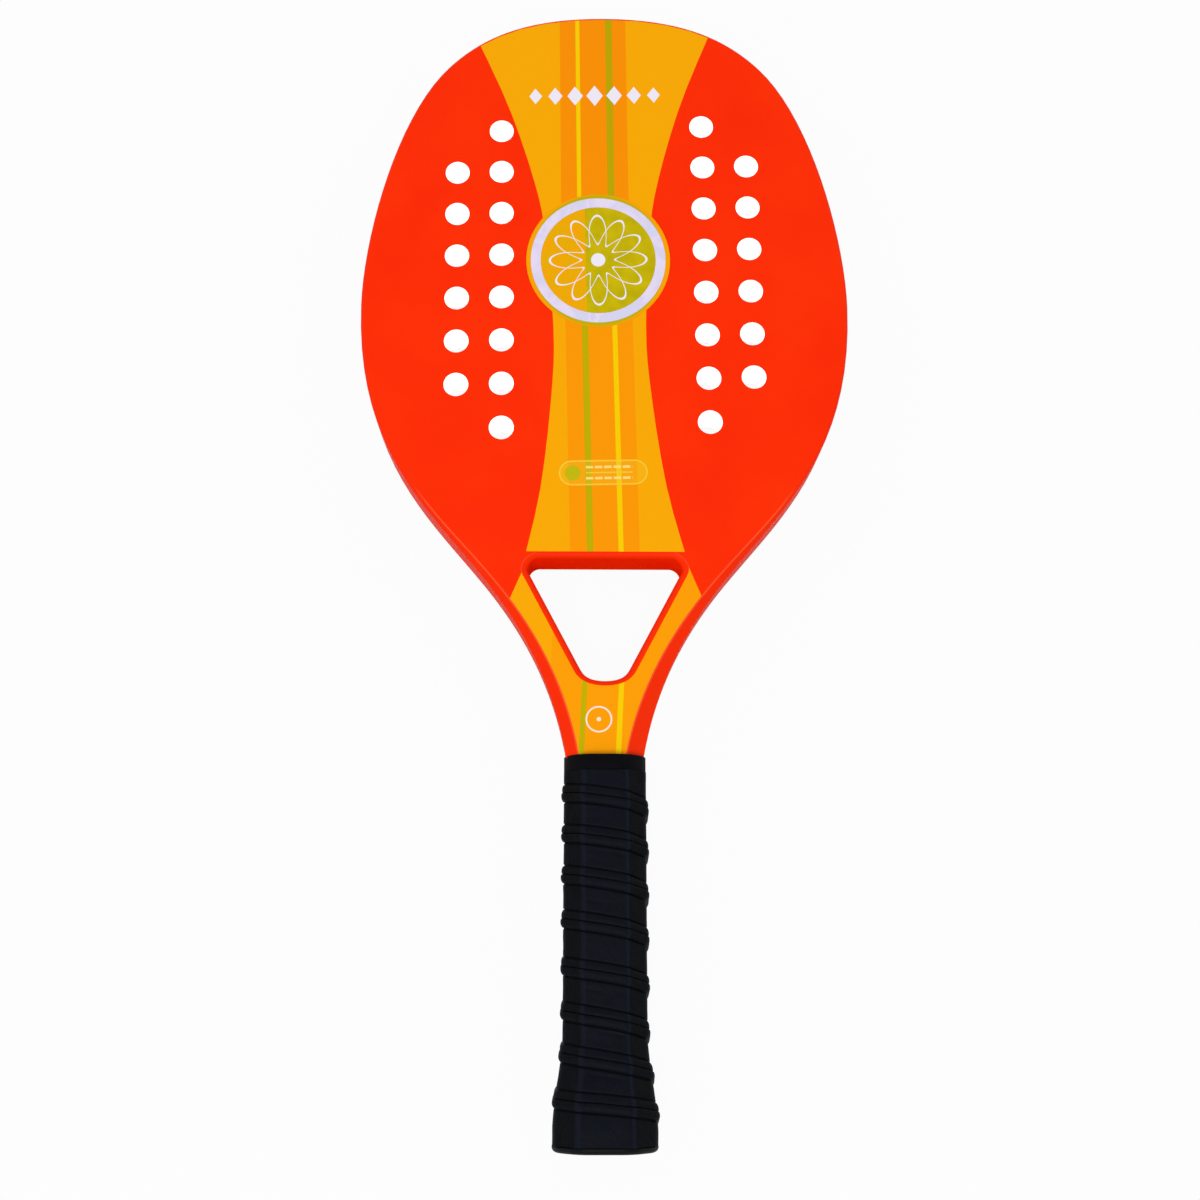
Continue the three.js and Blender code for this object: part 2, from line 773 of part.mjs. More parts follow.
const films = [
  ["head_panel", headPanel(), colours.amber], ["throat_panel", throatPanel(), colours.amber],
  ["roundel", roundelFilm(), colours.lime], ["foil_ring", foilRing(), colours.foil],
  ["label", labelFilm(), colours.label],
];
const drills = drillCutter();
for (const [name, solid, colour] of films) {
  racket.add(piece(`front_${name}`, solid.subtract(drills), colour, 0.35));
  racket.add(piece(`back_${name}`, turnOver(solid).subtract(drills), colour, 0.35));
}

const pallet = palletHalf();
racket.add(piece("front_pallet", pallet, colours.foam, 0.8));
racket.add(piece("back_pallet", turnOver(pallet), colours.foam, 0.8));
racket.add(piece("butt_cap", buttCap(), colours.cap, 0.45));
racket.add(piece("front_cap_staple", stapleSolid(0), colours.steel, 0.35, 0.9));
racket.add(piece("back_cap_staple", turnOver(stapleSolid(0)), colours.steel, 0.35, 0.9));
racket.add(piece("neck_collar", neckCollar(), colours.collar, 0.6));
racket.add(piece("grip_strip", gripStrip(), colours.grip, 0.75));

// The lowest point of the handle's flare rests at height 0
racket.position.z = -new THREE.Box3().setFromObject(racket).min.z;

export default racket;
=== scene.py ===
import math

import bpy
from mathutils import Matrix, Vector, noise


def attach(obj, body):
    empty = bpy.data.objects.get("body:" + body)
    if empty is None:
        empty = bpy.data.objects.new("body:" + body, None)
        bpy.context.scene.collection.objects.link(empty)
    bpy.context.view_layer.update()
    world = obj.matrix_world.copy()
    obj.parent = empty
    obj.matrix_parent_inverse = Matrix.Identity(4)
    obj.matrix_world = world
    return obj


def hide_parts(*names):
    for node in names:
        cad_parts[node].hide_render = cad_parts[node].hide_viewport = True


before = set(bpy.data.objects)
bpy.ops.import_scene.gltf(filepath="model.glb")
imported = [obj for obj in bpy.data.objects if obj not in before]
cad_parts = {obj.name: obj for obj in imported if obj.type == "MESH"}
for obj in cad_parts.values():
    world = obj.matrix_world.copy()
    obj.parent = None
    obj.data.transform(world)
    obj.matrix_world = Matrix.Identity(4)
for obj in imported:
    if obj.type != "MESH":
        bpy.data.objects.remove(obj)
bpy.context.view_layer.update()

# Beach tennis racket, lying on its back: +Y runs to the tip, +Z is the front face's normal.
# Sizes are real millimetres, and MM turns them to the frame's metres.
MM = 0.001

TIP_Y = 250
BUTT_Y = -250
MIDDLE_Z = 18.53
THICKNESS = 22
FRONT_Z = MIDDLE_Z + THICKNESS / 2

# The rim's bevel, narrow round the head and wide at the neck, where it is wider on the right
HEAD_BEVEL = 1.2
NECK_BEVEL = 6.2
BEVEL_FADE_TOP_Y = 30
BEVEL_FADE_LENGTH = 140
BEVEL_LEAN = 1.2
HANDLE_INSIDE_HALF = 13
EDGE_ROUND = 0.4

# The throat opening's wall and the rounding of its edges
OPENING_TOP_Y = -9.7
OPENING_BOTTOM_Y = -62.6
OPENING_APEX_Y = -74.7
OPENING_SLOPE = 0.55
OPENING_END_ROUND = 2.35
OPENING_SIDE_ROUND = 2.85
OPENING_ROUND_FADE = 5

# Drilled holes: on each side an inner and an outer column, with so many rows
COLUMN_ROWS = (8, 6)
HOLE_WIDTH = 10.8
HOLE_CENTRE = (-0.5, 121.2)
INNER_COLUMN_X = 45.36
COLUMN_PITCH = 19.8
ROW_PITCH = 20.34
ROW_TURN = math.radians(1.85)
COLUMN_TURN = math.radians(0.75)
SKIN_THICKNESS = 0.7
SKIN_STEP = 0.1

# Prints
PRINT_TURN = math.radians(1.25)
PRINT_THICKNESS = 0.1
ROUNDEL_CENTRE = (-2.95, 127.6)
RING_RADIUS = 30
RING_WIDTH = 4.4

# Handle
GRIP_HALF = 17
FLARE_HALF = 20.9
FLARE_TOP_Y = -203.97
FLARE_BOTTOM_Y = -242.97
OCTAGON_DEPTH = 0.85
OCTAGON_FLAT = 0.53
OCTAGON_SIDE = 0.37
STRIP_THICKNESS = 1.6
TURN_PITCH = 17.31
FIRST_SEAM_Y = -108.6
SEAM_OVERLAP = 0.04
GRIP_TOP_Y = -100.1
GRIP_BOTTOM_Y = -247.6
COLLAR_HALF = 17
COLLAR_TOP_Y = -93.9
COLLAR_BOTTOM_Y = -100.2

# Fineness of the meshes, how close a corner is to count as at a place, and the angles in degrees
# up to which faces are shaded as one
CURVE_STEPS = 18
CIRCLE_STEPS = 48
WELD = 0.01
NEAR = 0.1
BODY_SMOOTHING = 40
BLOCK_SMOOTHING = 35
GRIP_SMOOTHING = 60


# Modelling helpers

def vector(x, y, z=0):
    return Vector((x, y, z)) * MM


def only(piece):
    bpy.ops.object.select_all(action="DESELECT")
    piece.select_set(True)
    bpy.context.view_layer.objects.active = piece
    return piece


# Names the object that the last call added
def made(name):
    piece = bpy.context.object
    piece.name = name
    piece.data.name = name
    return piece


def place_applied(piece):
    only(piece)
    bpy.ops.object.transform_apply(location=True, rotation=True, scale=True)
    return piece


def modified(piece, kind, **settings):
    only(piece)
    modifier = piece.modifiers.new(kind, kind)
    for key, value in settings.items():
        setattr(modifier, key, value)
    bpy.ops.object.modifier_apply(modifier=modifier.name)
    return piece


def dropped(piece):
    bpy.data.objects.remove(piece, do_unlink=True)


# Cuts a tool's shape out of a piece and drops the tool
def cut(piece, tool):
    modified(piece, "BOOLEAN", object=tool, operation="DIFFERENCE", solver="EXACT")
    dropped(tool)


# Opens Edit mode with the edges, or the faces, selected whose corners all pass a test of their
# place in mm
def choose(piece, mode, test):
    only(piece)
    mesh = piece.data
    chosen = {spot.index for spot in mesh.vertices if test(spot.co / MM)}
    bpy.context.tool_settings.mesh_select_mode = (False, mode == "EDGE", mode == "FACE")
    for part in (*mesh.edges, *mesh.polygons):
        part.select = chosen.issuperset(part.vertices)
    for spot in mesh.vertices:
        spot.select = spot.index in chosen
    bpy.ops.object.mode_set(mode="EDIT")


# Extrudes what is selected in Edit mode, turns all normals outwards and leaves Edit mode
def thickened(offset):
    bpy.ops.mesh.extrude_region_move(TRANSFORM_OT_translate={"value": offset})
    bpy.ops.mesh.select_all(action="SELECT")
    bpy.ops.mesh.normals_make_consistent(inside=False)
    bpy.ops.object.mode_set(mode="OBJECT")


def copied(piece, name):
    twin = piece.copy()
    twin.data = piece.data.copy()
    twin.name = name
    bpy.context.collection.objects.link(twin)
    return twin


def smooth(piece, degrees):
    only(piece)
    bpy.ops.object.shade_smooth_by_angle(angle=math.radians(degrees))
    return piece


# Gives a piece its material and its body, and hides the nodes that it replaces
def finished(piece, finish, slot, *nodes):
    piece.data.materials.clear()
    piece.data.materials.append(finish)
    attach(piece, "root")
    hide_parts(*nodes)


# Materials

def linear(hex_text):
    channels = [int(hex_text[k:k + 2], 16) / 255 for k in (0, 2, 4)]
    return [c / 12.92 if c <= 0.04045 else ((c + 0.055) / 1.055) ** 2.4 for c in channels] + [1]


# Adds one node with its settings, its links and, for a colour ramp, its stops
def node(tree, kind, inputs=None, stops=None, **settings):
    added = tree.nodes.new(kind)
    for key, value in settings.items():
        setattr(added, key, value)
    for key, value in (inputs or {}).items():
        if isinstance(value, bpy.types.NodeSocket):
            tree.links.new(value, added.inputs[key])
        else:
            added.inputs[key].default_value = value
    if stops:
        elements = added.color_ramp.elements
        while len(elements) < len(stops):
            elements.new(1)
        for element, (share, hex_text) in zip(elements, stops):
            element.position = share
            element.color = linear(hex_text)
    return added


def empty_tree(owner):
    owner.use_nodes = True
    owner.node_tree.nodes.clear()
    return owner.node_tree


# A material whose surface function gives the shader's inputs from the piece's own coordinates
def material(name, surface, **choices):
    fresh = bpy.data.materials.new(name)
    tree = empty_tree(fresh)
    place = node(tree, "ShaderNodeTexCoord").outputs["Object"]
    shader = node(tree, "ShaderNodeBsdfPrincipled", surface(tree, place, **choices))
    node(tree, "ShaderNodeOutputMaterial", {"Surface": shader.outputs[0]})
    return fresh


def calculated(tree, operation, *values):
    return node(tree, "ShaderNodeMath", dict(enumerate(values)), operation=operation).outputs[0]


# How far a place is from the point that its two coordinates start at
def length_of(tree, x, y):
    squares = [calculated(tree, "MULTIPLY", value, value) for value in (x, y)]
    return calculated(tree, "SQRT", calculated(tree, "ADD", *squares))


def inked(tree, share, under, over):
    return node(tree, "ShaderNodeMix", {0: share, 6: under, 7: over}, data_type="RGBA").outputs[2]


WHITE = "FFFFFF"
PEEL_SIZE = 2.2
PEEL_DEPTH = 0.012


# Fine waviness of a sprayed and cured lacquer
def orange_peel(tree, place):
    height = node(tree, "ShaderNodeTexNoise", {
        "Vector": place, "Scale": 1 / (PEEL_SIZE * MM), "Detail": 2, "Roughness": 0.5})
    return node(tree, "ShaderNodeBump", {
        "Height": height.outputs[0], "Distance": PEEL_DEPTH * MM}).outputs[0]


LACQUER_ROUGHNESS = 0.42
LACQUER_SHEEN = 0.05
LACQUER_DARK = "FC2A00"
LACQUER_LIGHT = "FF3000"
LACQUER_HIGHLIGHT = "FF8455"
LACQUER_CLOUD_SIZE = 35
LAMINATE = "F4F1E8"
FOAM_GLOW = 0.3

# Attributes of the body's mesh: where a highlight is painted along the face's edge, where the drill
# cut the laminate (which also carries a painted glow), what is dull
EDGE_HIGHLIGHT = "painted_edge_highlight"
BARE_LAMINATE_AND_GLOW = "bare_laminate_and_glow"
DULL_WALL = "dull_wall"


# Polyester lacquer sprayed over glass fibre laminate: an even, saturated red-orange with a soft
# gloss and a slight cloudiness of the spray coat, with a painted highlight, a paler line, along the
# face's edge; the laminate that the drill cut is white and carries a painted glow, as the foam does
def lacquer_surface(tree, place):
    cloud = node(tree, "ShaderNodeTexNoise", {
        "Vector": place, "Scale": 1 / (LACQUER_CLOUD_SIZE * MM), "Detail": 3})
    paint = node(tree, "ShaderNodeValToRGB", {"Fac": cloud.outputs[0]}, [
        (0.3, LACQUER_DARK), (0.7, LACQUER_LIGHT)])
    # Painted highlight: a paler line painted along the face's edge and in the opening's upper corners
    edge = node(tree, "ShaderNodeAttribute", attribute_name=EDGE_HIGHLIGHT)
    highlight = node(tree, "ShaderNodeMapRange", {"Value": edge.outputs["Fac"], "From Min": 0.5})
    colour = inked(tree, highlight.outputs[0], paint.outputs[0], linear(LACQUER_HIGHLIGHT))
    # The drilled laminate's own white, with a painted glow on it
    bare_and_glowing = node(tree, "ShaderNodeAttribute", attribute_name=BARE_LAMINATE_AND_GLOW).outputs["Fac"]
    dull = node(tree, "ShaderNodeAttribute", attribute_name=DULL_WALL).outputs["Fac"]
    return {
        "Base Color": inked(tree, bare_and_glowing, colour, linear(LAMINATE)), "Roughness": LACQUER_ROUGHNESS,
        "Specular IOR Level": calculated(tree, "MULTIPLY_ADD", dull, -LACQUER_SHEEN, LACQUER_SHEEN),
        "Emission Color": linear(WHITE),
        "Emission Strength": calculated(tree, "MULTIPLY", bare_and_glowing, FOAM_GLOW),
        "Normal": orange_peel(tree, place)}


# Inks of the prints
AMBER = "F9A900"
UPPER_ORANGE = "FA9000"
ORANGE = "FB9800"
YELLOW = "F6CD00"
UPPER_LIME = "BCA500"
LIME = "BFAD00"
THROAT_ORANGE = "FC9E00"
THROAT_LIME = "C1B000"
SILVER = "EFEAF6"

# Stripes of the panel: where each starts, in mm from the panel's centre line, and its ink
ABOVE_ROUNDEL = [
    (-40, AMBER), (-15.9, UPPER_ORANGE), (-8.7, YELLOW), (-6.6, UPPER_ORANGE), (5.1, UPPER_LIME),
    (8.4, UPPER_ORANGE), (14.4, AMBER)]
ABOVE_CENTRE = (-4.6, 204.5)
ABOVE_TURN = math.radians(0.75)
BELOW_ROUNDEL = [
    (-40, AMBER), (-15.3, ORANGE), (-8.1, LIME), (-5.1, ORANGE), (5.5, YELLOW), (7.7, ORANGE),
    (14.6, AMBER)]
BELOW_CENTRE = (-1.1, 44)
BELOW_TURN = math.radians(1.38)
AT_THROAT = [
    (-40, AMBER), (-24, THROAT_ORANGE), (-10.6, THROAT_LIME), (-8.2, THROAT_ORANGE), (5.0, YELLOW),
    (6.9, THROAT_ORANGE)]
STRIPE_REACH = 80


# The piece's own coordinates in mm, centred on a point of the front and turned about it;
# the back carries the same prints turned over
def print_place(tree, place, centre, turn, side):
    shift = Matrix.Rotation(turn, 3, "Z") @ Vector((-centre[0], -centre[1], 0))
    mapped = node(tree, "ShaderNodeMapping", {
        "Vector": place, "Scale": (side / MM, 1 / MM, 1 / MM), "Rotation": (0, 0, turn),
        "Location": shift})
    split = node(tree, "ShaderNodeSeparateXYZ", {0: mapped.outputs[0]})
    return split.outputs["X"], split.outputs["Y"]


def stripes(tree, across, stops):
    share = calculated(tree, "MULTIPLY_ADD", across, 1 / STRIPE_REACH, 0.5)
    places = [(x / STRIPE_REACH + 0.5, ink) for x, ink in stops]
    band = node(tree, "ShaderNodeValToRGB", {"Fac": share}, places)
    band.color_ramp.interpolation = "CONSTANT"
    return band.outputs[0]


# A colour printed under the clear lacquer
def under_lacquer(tree, place, colour):
    return {"Base Color": colour, "Roughness": LACQUER_ROUGHNESS, "Specular IOR Level": LACQUER_SHEEN,
            "Normal": orange_peel(tree, place)}


# A row of plain lozenges, largest in the middle, printed in silver across the panel's top
LOZENGE_ROW_Y = 209.2
LOZENGE_PITCH = 9
LOZENGE_HALF = 3.9
LOZENGE_FLATTENING = 0.75
LOZENGE_ROW_HALF = 31.5
LOZENGE_TAPER = 0.035


def lozenge_row(tree, across, along):
    from_middle = calculated(tree, "PINGPONG", across, LOZENGE_PITCH / 2)
    off_row = calculated(tree, "ABSOLUTE", along)
    outwards = calculated(tree, "ABSOLUTE", across)
    size = calculated(tree, "MULTIPLY_ADD", off_row, LOZENGE_FLATTENING, from_middle)
    tapered = calculated(tree, "MULTIPLY_ADD", outwards, LOZENGE_TAPER, size)
    inside = calculated(tree, "LESS_THAN", tapered, LOZENGE_HALF)
    in_row = calculated(tree, "LESS_THAN", outwards, LOZENGE_ROW_HALF)
    return calculated(tree, "MULTIPLY", inside, in_row)


# Sublimation print under clear lacquer: flat inks with crisp edges and the lacquer's soft gloss
def head_print_surface(tree, place, side):
    across, along = print_place(tree, place, ABOVE_CENTRE, -ABOVE_TURN, side)
    lower_across, _ = print_place(tree, place, BELOW_CENTRE, -BELOW_TURN, side)
    upper = calculated(tree, "GREATER_THAN", along, ROUNDEL_CENTRE[1] - ABOVE_CENTRE[1])
    below = stripes(tree, lower_across, BELOW_ROUNDEL)
    above = stripes(tree, across, ABOVE_ROUNDEL)
    bands = inked(tree, upper, below, above)
    row_centre = (ABOVE_CENTRE[0], LOZENGE_ROW_Y)
    row_across, row_along = print_place(tree, place, row_centre, -PRINT_TURN, side)
    colour = inked(tree, lozenge_row(tree, row_across, row_along), bands, linear(SILVER))
    return under_lacquer(tree, place, colour)


THROAT_TURN = math.radians(2.7)
THROAT_CENTRE = (0, -80)
THROAT_RING_CENTRE = (-2.6, -79.1)
THROAT_RING_RADIUS = 5.2
THROAT_RING_LINE = 0.35
THROAT_DOT_RADIUS = 0.9
THROAT_RING_INK = "F8E6D6"


# The throat's print, with a plain silver ring and a dot at its centre
def throat_print_surface(tree, place, side):
    across, _ = print_place(tree, place, THROAT_CENTRE, THROAT_TURN, side)
    bands = stripes(tree, across, AT_THROAT)
    x, y = print_place(tree, place, THROAT_RING_CENTRE, 0, side)
    radius = length_of(tree, x, y)
    ring = calculated(tree, "COMPARE", radius, THROAT_RING_RADIUS, THROAT_RING_LINE)
    dot = calculated(tree, "LESS_THAN", radius, THROAT_DOT_RADIUS)
    colour = inked(tree, calculated(tree, "MAXIMUM", ring, dot), bands, linear(THROAT_RING_INK))
    return under_lacquer(tree, place, colour)


# Round field: amber ink on the left, lime on the right, a lime edge above and below, and a plain
# rosette of two six-lobed lines in silver
ROSETTE_LOBES = 6
ROSETTE_RADIUS = 14.5
ROSETTE_SWING = 7
ROSETTE_LINE = 0.5
HUB_RADIUS = 3.2
LIME_FROM = -5.5
LIME_EDGE_SQUEEZE = 1.06
LIME_EDGE_RADIUS = 31.6
INK_CLOUD_SIZE = 6


def roundel_surface(tree, place, side):
    x, y = print_place(tree, place, ROUNDEL_CENTRE, -PRINT_TURN, side)
    radius = length_of(tree, x, y)
    cloud = node(tree, "ShaderNodeTexNoise", {
        "Vector": place, "Scale": 1 / (INK_CLOUD_SIZE * MM), "Detail": 4}).outputs[0]
    amber = node(tree, "ShaderNodeValToRGB", {"Fac": cloud}, [(0.35, "F5A600"), (0.65, "E6AE00")])
    lime = node(tree, "ShaderNodeValToRGB", {"Fac": cloud}, [(0.35, "BCAC02"), (0.65, "CDB706")])
    right = calculated(tree, "GREATER_THAN", x, LIME_FROM)
    field = inked(tree, right, amber.outputs[0], lime.outputs[0])
    squeezed = calculated(tree, "MULTIPLY", x, LIME_EDGE_SQUEEZE)
    lime_edge = calculated(tree, "LESS_THAN", length_of(tree, squeezed, y), LIME_EDGE_RADIUS)
    border = inked(tree, lime_edge, linear("F6A400"), linear("C4AE08"))
    outside = calculated(tree, "GREATER_THAN", radius, RING_RADIUS - RING_WIDTH / 2)
    ground = inked(tree, outside, field, border)
    angle = calculated(tree, "ARCTAN2", y, x)
    lobes = calculated(tree, "MULTIPLY", angle, ROSETTE_LOBES)
    lines = []
    for sign in (-1, 1):
        wave = calculated(tree, "MULTIPLY", calculated(tree, "COSINE", lobes), sign * ROSETTE_SWING)
        lines.append(calculated(
            tree, "COMPARE", radius, calculated(tree, "ADD", wave, ROSETTE_RADIUS), ROSETTE_LINE))
    hub = calculated(tree, "LESS_THAN", radius, HUB_RADIUS)
    drawn = calculated(tree, "MAXIMUM", calculated(tree, "MAXIMUM", *lines), hub)
    colour = inked(tree, drawn, ground, linear(SILVER))
    return under_lacquer(tree, place, colour)


# Blank pill label over the panel's stripes: a thin pale outline with a lime dot, a rule and two
# rows of dashes
LABEL_CENTRE = (-0.7, 28.2)
LABEL_REACH = 13.5
LABEL_LINE_RADIUS = 5.3
LABEL_LINE = 0.3
LABEL_DOT_X = -13.2
LABEL_DOT_RADIUS = 3.4
LABEL_RULE_X = 2.5
LABEL_RULE_HALF = 10
LABEL_DASH_PITCH = 4
LABEL_DASH_GAP = 0.4
LABEL_ROW_Y = 2.5
LABEL_ROW_HALF = 0.55
LABEL_TINT_SHARE = 0.3


def label_surface(tree, place, side):
    across, _ = print_place(tree, place, BELOW_CENTRE, -BELOW_TURN, side)
    bands = stripes(tree, across, BELOW_ROUNDEL)
    tint = inked(tree, LABEL_TINT_SHARE, bands, linear("F3C420"))
    x, y = print_place(tree, place, LABEL_CENTRE, -PRINT_TURN, side)
    beyond = calculated(tree, "SUBTRACT", calculated(tree, "ABSOLUTE", x), LABEL_REACH)
    past = calculated(tree, "MAXIMUM", beyond, 0.0)
    outline = calculated(tree, "COMPARE", length_of(tree, past, y), LABEL_LINE_RADIUS, LABEL_LINE)
    from_dot = calculated(tree, "SUBTRACT", x, LABEL_DOT_X)
    dot = calculated(tree, "LESS_THAN", length_of(tree, from_dot, y), LABEL_DOT_RADIUS)
    off_rule = calculated(tree, "ABSOLUTE", calculated(tree, "SUBTRACT", x, LABEL_RULE_X))
    on_rule = calculated(tree, "LESS_THAN", off_rule, LABEL_RULE_HALF)
    rule = calculated(tree, "MULTIPLY", calculated(tree, "COMPARE", y, 0.0, LABEL_LINE), on_rule)
    from_gap = calculated(tree, "PINGPONG", x, LABEL_DASH_PITCH / 2)
    dashes = calculated(tree, "GREATER_THAN", from_gap, LABEL_DASH_GAP)
    row = calculated(tree, "COMPARE", calculated(tree, "ABSOLUTE", y), LABEL_ROW_Y, LABEL_ROW_HALF)
    dash_rows = calculated(tree, "MULTIPLY", calculated(tree, "MULTIPLY", dashes, row), on_rule)
    dotted = inked(tree, dot, tint, linear("C2B80E"))
    dashed = inked(tree, dash_rows, dotted, linear("FADB78"))
    colour = inked(tree, calculated(tree, "MAXIMUM", outline, rule), dashed, linear("F9C83A"))
    return under_lacquer(tree, place, colour)


FOIL_CLOUD_SIZE = 14


# Holographic foil: pale lavender, smooth, with faint blue and rose clouds from its embossing
def foil_surface(tree, place):
    waves = node(tree, "ShaderNodeTexNoise", {
        "Vector": place, "Scale": 1 / (FOIL_CLOUD_SIZE * MM), "Detail": 3, "Distortion": 0.8})
    colour = node(tree, "ShaderNodeValToRGB", {"Fac": waves.outputs[0]}, [
        (0.25, "D8E6FF"), (0.42, "E3DCFB"), (0.55, "F3E6FF"), (0.7, "DCD6FA"), (0.8, "D6F2FF")])
    return {"Base Color": colour.outputs[0], "Metallic": 0.1, "Normal": orange_peel(tree, place),
            "Roughness": 0.3, "Specular IOR Level": 0.5}


CELL_SIZE = 0.7
CELL_DEPTH = 0.05


# Closed-cell EVA foam, cut by the drill: pure white and matt with cells open at the cut.
# The holes' walls read plain white because the foam carries a painted glow: a little white emission.
def eva_surface(tree, place):
    cells = node(tree, "ShaderNodeTexVoronoi", {"Vector": place, "Scale": 1 / (CELL_SIZE * MM)})
    colour = node(tree, "ShaderNodeValToRGB", {"Fac": cells.outputs["Distance"]}, [
        (0.0, "F6F5F2"), (0.4, WHITE)])
    bump = node(tree, "ShaderNodeBump", {
        "Height": cells.outputs["Distance"], "Distance": CELL_DEPTH * MM, "Strength": 0.5})
    return {"Base Color": colour.outputs[0], "Roughness": 0.9, "Specular IOR Level": 0.1,
            "Emission Color": linear(WHITE), "Emission Strength": FOAM_GLOW,
            "Normal": bump.outputs[0]}


LEATHER_DARK = "030405"
LEATHER_LIGHT = "080A10"
LEATHER_SHEEN = "161B27"
LEATHER_SHADE = "010101"
GRAIN_SIZE = 0.8
GRAIN_DEPTH = 0.1
RUMPLE_SIZE = 9
RUMPLE_DEPTH = 0.9
LEATHER_ROUGHNESS = 0.36
LEATHER_ROUGHNESS_SWING = 0.35

# Attributes of the grip's mesh: how much painted sheen it has, and how deep it lies in a seam or
# groove, which sets the shade painted there
PAINTED_SHEEN = "painted_sheen"
PAINTED_SHADE = "painted_shade"


# Polyurethane grip leather: near black with a blue cast, a fine pebbled grain, soft rumples from
# winding and a dull sheen, with a painted sheen, paler over the handle's edges and on its front and
# back, and painted shade in the seams and grooves
def grip_surface(tree, place):
    grain = node(tree, "ShaderNodeTexVoronoi", {"Vector": place, "Scale": 1 / (GRAIN_SIZE * MM)})
    rumples = node(tree, "ShaderNodeTexNoise", {
        "Vector": place, "Scale": 1 / (RUMPLE_SIZE * MM), "Detail": 5, "Roughness": 0.6,
        "Distortion": 1.2})
    colour = node(tree, "ShaderNodeValToRGB", {"Fac": rumples.outputs[0]}, [
        (0.35, LEATHER_DARK), (0.65, LEATHER_LIGHT)])
    # Painted sheen: paler colour over the handle's edges and on its front and back
    sheen_mask = node(tree, "ShaderNodeAttribute", attribute_name=PAINTED_SHEEN)
    paler = inked(tree, sheen_mask.outputs["Fac"], colour.outputs[0], linear(LEATHER_SHEEN))
    # Painted shade: near black painted into the seams and grooves
    painted_shade = node(tree, "ShaderNodeAttribute", attribute_name=PAINTED_SHADE)
    shaded = inked(tree, painted_shade.outputs["Fac"], paler, linear(LEATHER_SHADE))
    rough = calculated(
        tree, "MULTIPLY_ADD", rumples.outputs[0], LEATHER_ROUGHNESS_SWING, LEATHER_ROUGHNESS)
    fine = node(tree, "ShaderNodeBump", {
        "Height": grain.outputs["Distance"], "Distance": GRAIN_DEPTH * MM, "Strength": 0.5})
    coarse = node(tree, "ShaderNodeBump", {
        "Height": rumples.outputs[0], "Distance": RUMPLE_DEPTH * MM, "Strength": 0.6,
        "Normal": fine.outputs[0]})
    return {"Base Color": shaded, "Roughness": rough, "Specular IOR Level": 0.05,
            "Normal": coarse.outputs[0]}


# Solid plastic, rubber or rigid foam: one colour right through, with a fine moulded or cut texture
def moulded_surface(tree, place, dark, light, roughness, gloss, grain, depth):
    texture = node(tree, "ShaderNodeTexNoise", {
        "Vector": place, "Scale": 1 / (grain * MM), "Detail": 4, "Roughness": 0.6})
    colour = node(tree, "ShaderNodeValToRGB", {"Fac": texture.outputs[0]}, [
        (0.35, dark), (0.65, light)])
    bump = node(tree, "ShaderNodeBump", {
        "Height": texture.outputs[0], "Distance": depth * MM, "Strength": 0.6})
    return {"Base Color": colour.outputs[0], "Roughness": roughness, "Specular IOR Level": gloss,
            "Normal": bump.outputs[0]}


WIRE_LINE_SIZE = 0.4
WIRE_ROUGHNESS = 0.25
WIRE_ROUGHNESS_SWING = 0.2


# Zinc-plated steel wire: pale grey metal, its drawing lines leaving it slightly uneven
def staple_surface(tree, place):
    lines = node(tree, "ShaderNodeTexNoise", {
        "Vector": place, "Scale": 1 / (WIRE_LINE_SIZE * MM), "Detail": 2}).outputs[0]
    colour = node(tree, "ShaderNodeValToRGB", {"Fac": lines}, [(0.3, "A9ADB2"), (0.7, "C9CDD1")])
    rough = calculated(tree, "MULTIPLY_ADD", lines, WIRE_ROUGHNESS_SWING, WIRE_ROUGHNESS)
    return {"Base Color": colour.outputs[0], "Metallic": 1.0, "Roughness": rough}


# Moulded body: hoop, arms, bridge and neck under one lacquer

LEGS_END_Y = -240

# Half outline as cubic curves: each point with the handle before it and the handle after it,
# where None makes the stretch on that side straight
BODY_OUTLINE = [
    ((0, TIP_Y), None, (38.3, TIP_Y)),
    ((71.0, 224.3), (57.34, 238.5), (94.23, 200.16)),
    ((107.7, 106), (107.7, 139.8), (107.7, 39.4)),
    ((52.2, -17.3), (77.19, 13.67), (34.24, -39.56)),
    ((16.0, -95), (21.46, -63.72), (15.0, -100.7)),
    ((HANDLE_INSIDE_HALF, -114), (HANDLE_INSIDE_HALF, -107), None),
    ((HANDLE_INSIDE_HALF, LEGS_END_Y), None, None),
    ((0, LEGS_END_Y), None, None),
    ((0, OPENING_BOTTOM_Y), None, (7.4, -62.5)),
    ((10.6, -57.2), (9.17, -59.9), None),
    ((32.6, -15.6), None, (33.6, -13.7)),
    ((28.0, OPENING_TOP_Y), (31.4, OPENING_TOP_Y), None),
    ((0, OPENING_TOP_Y), None, None),
]


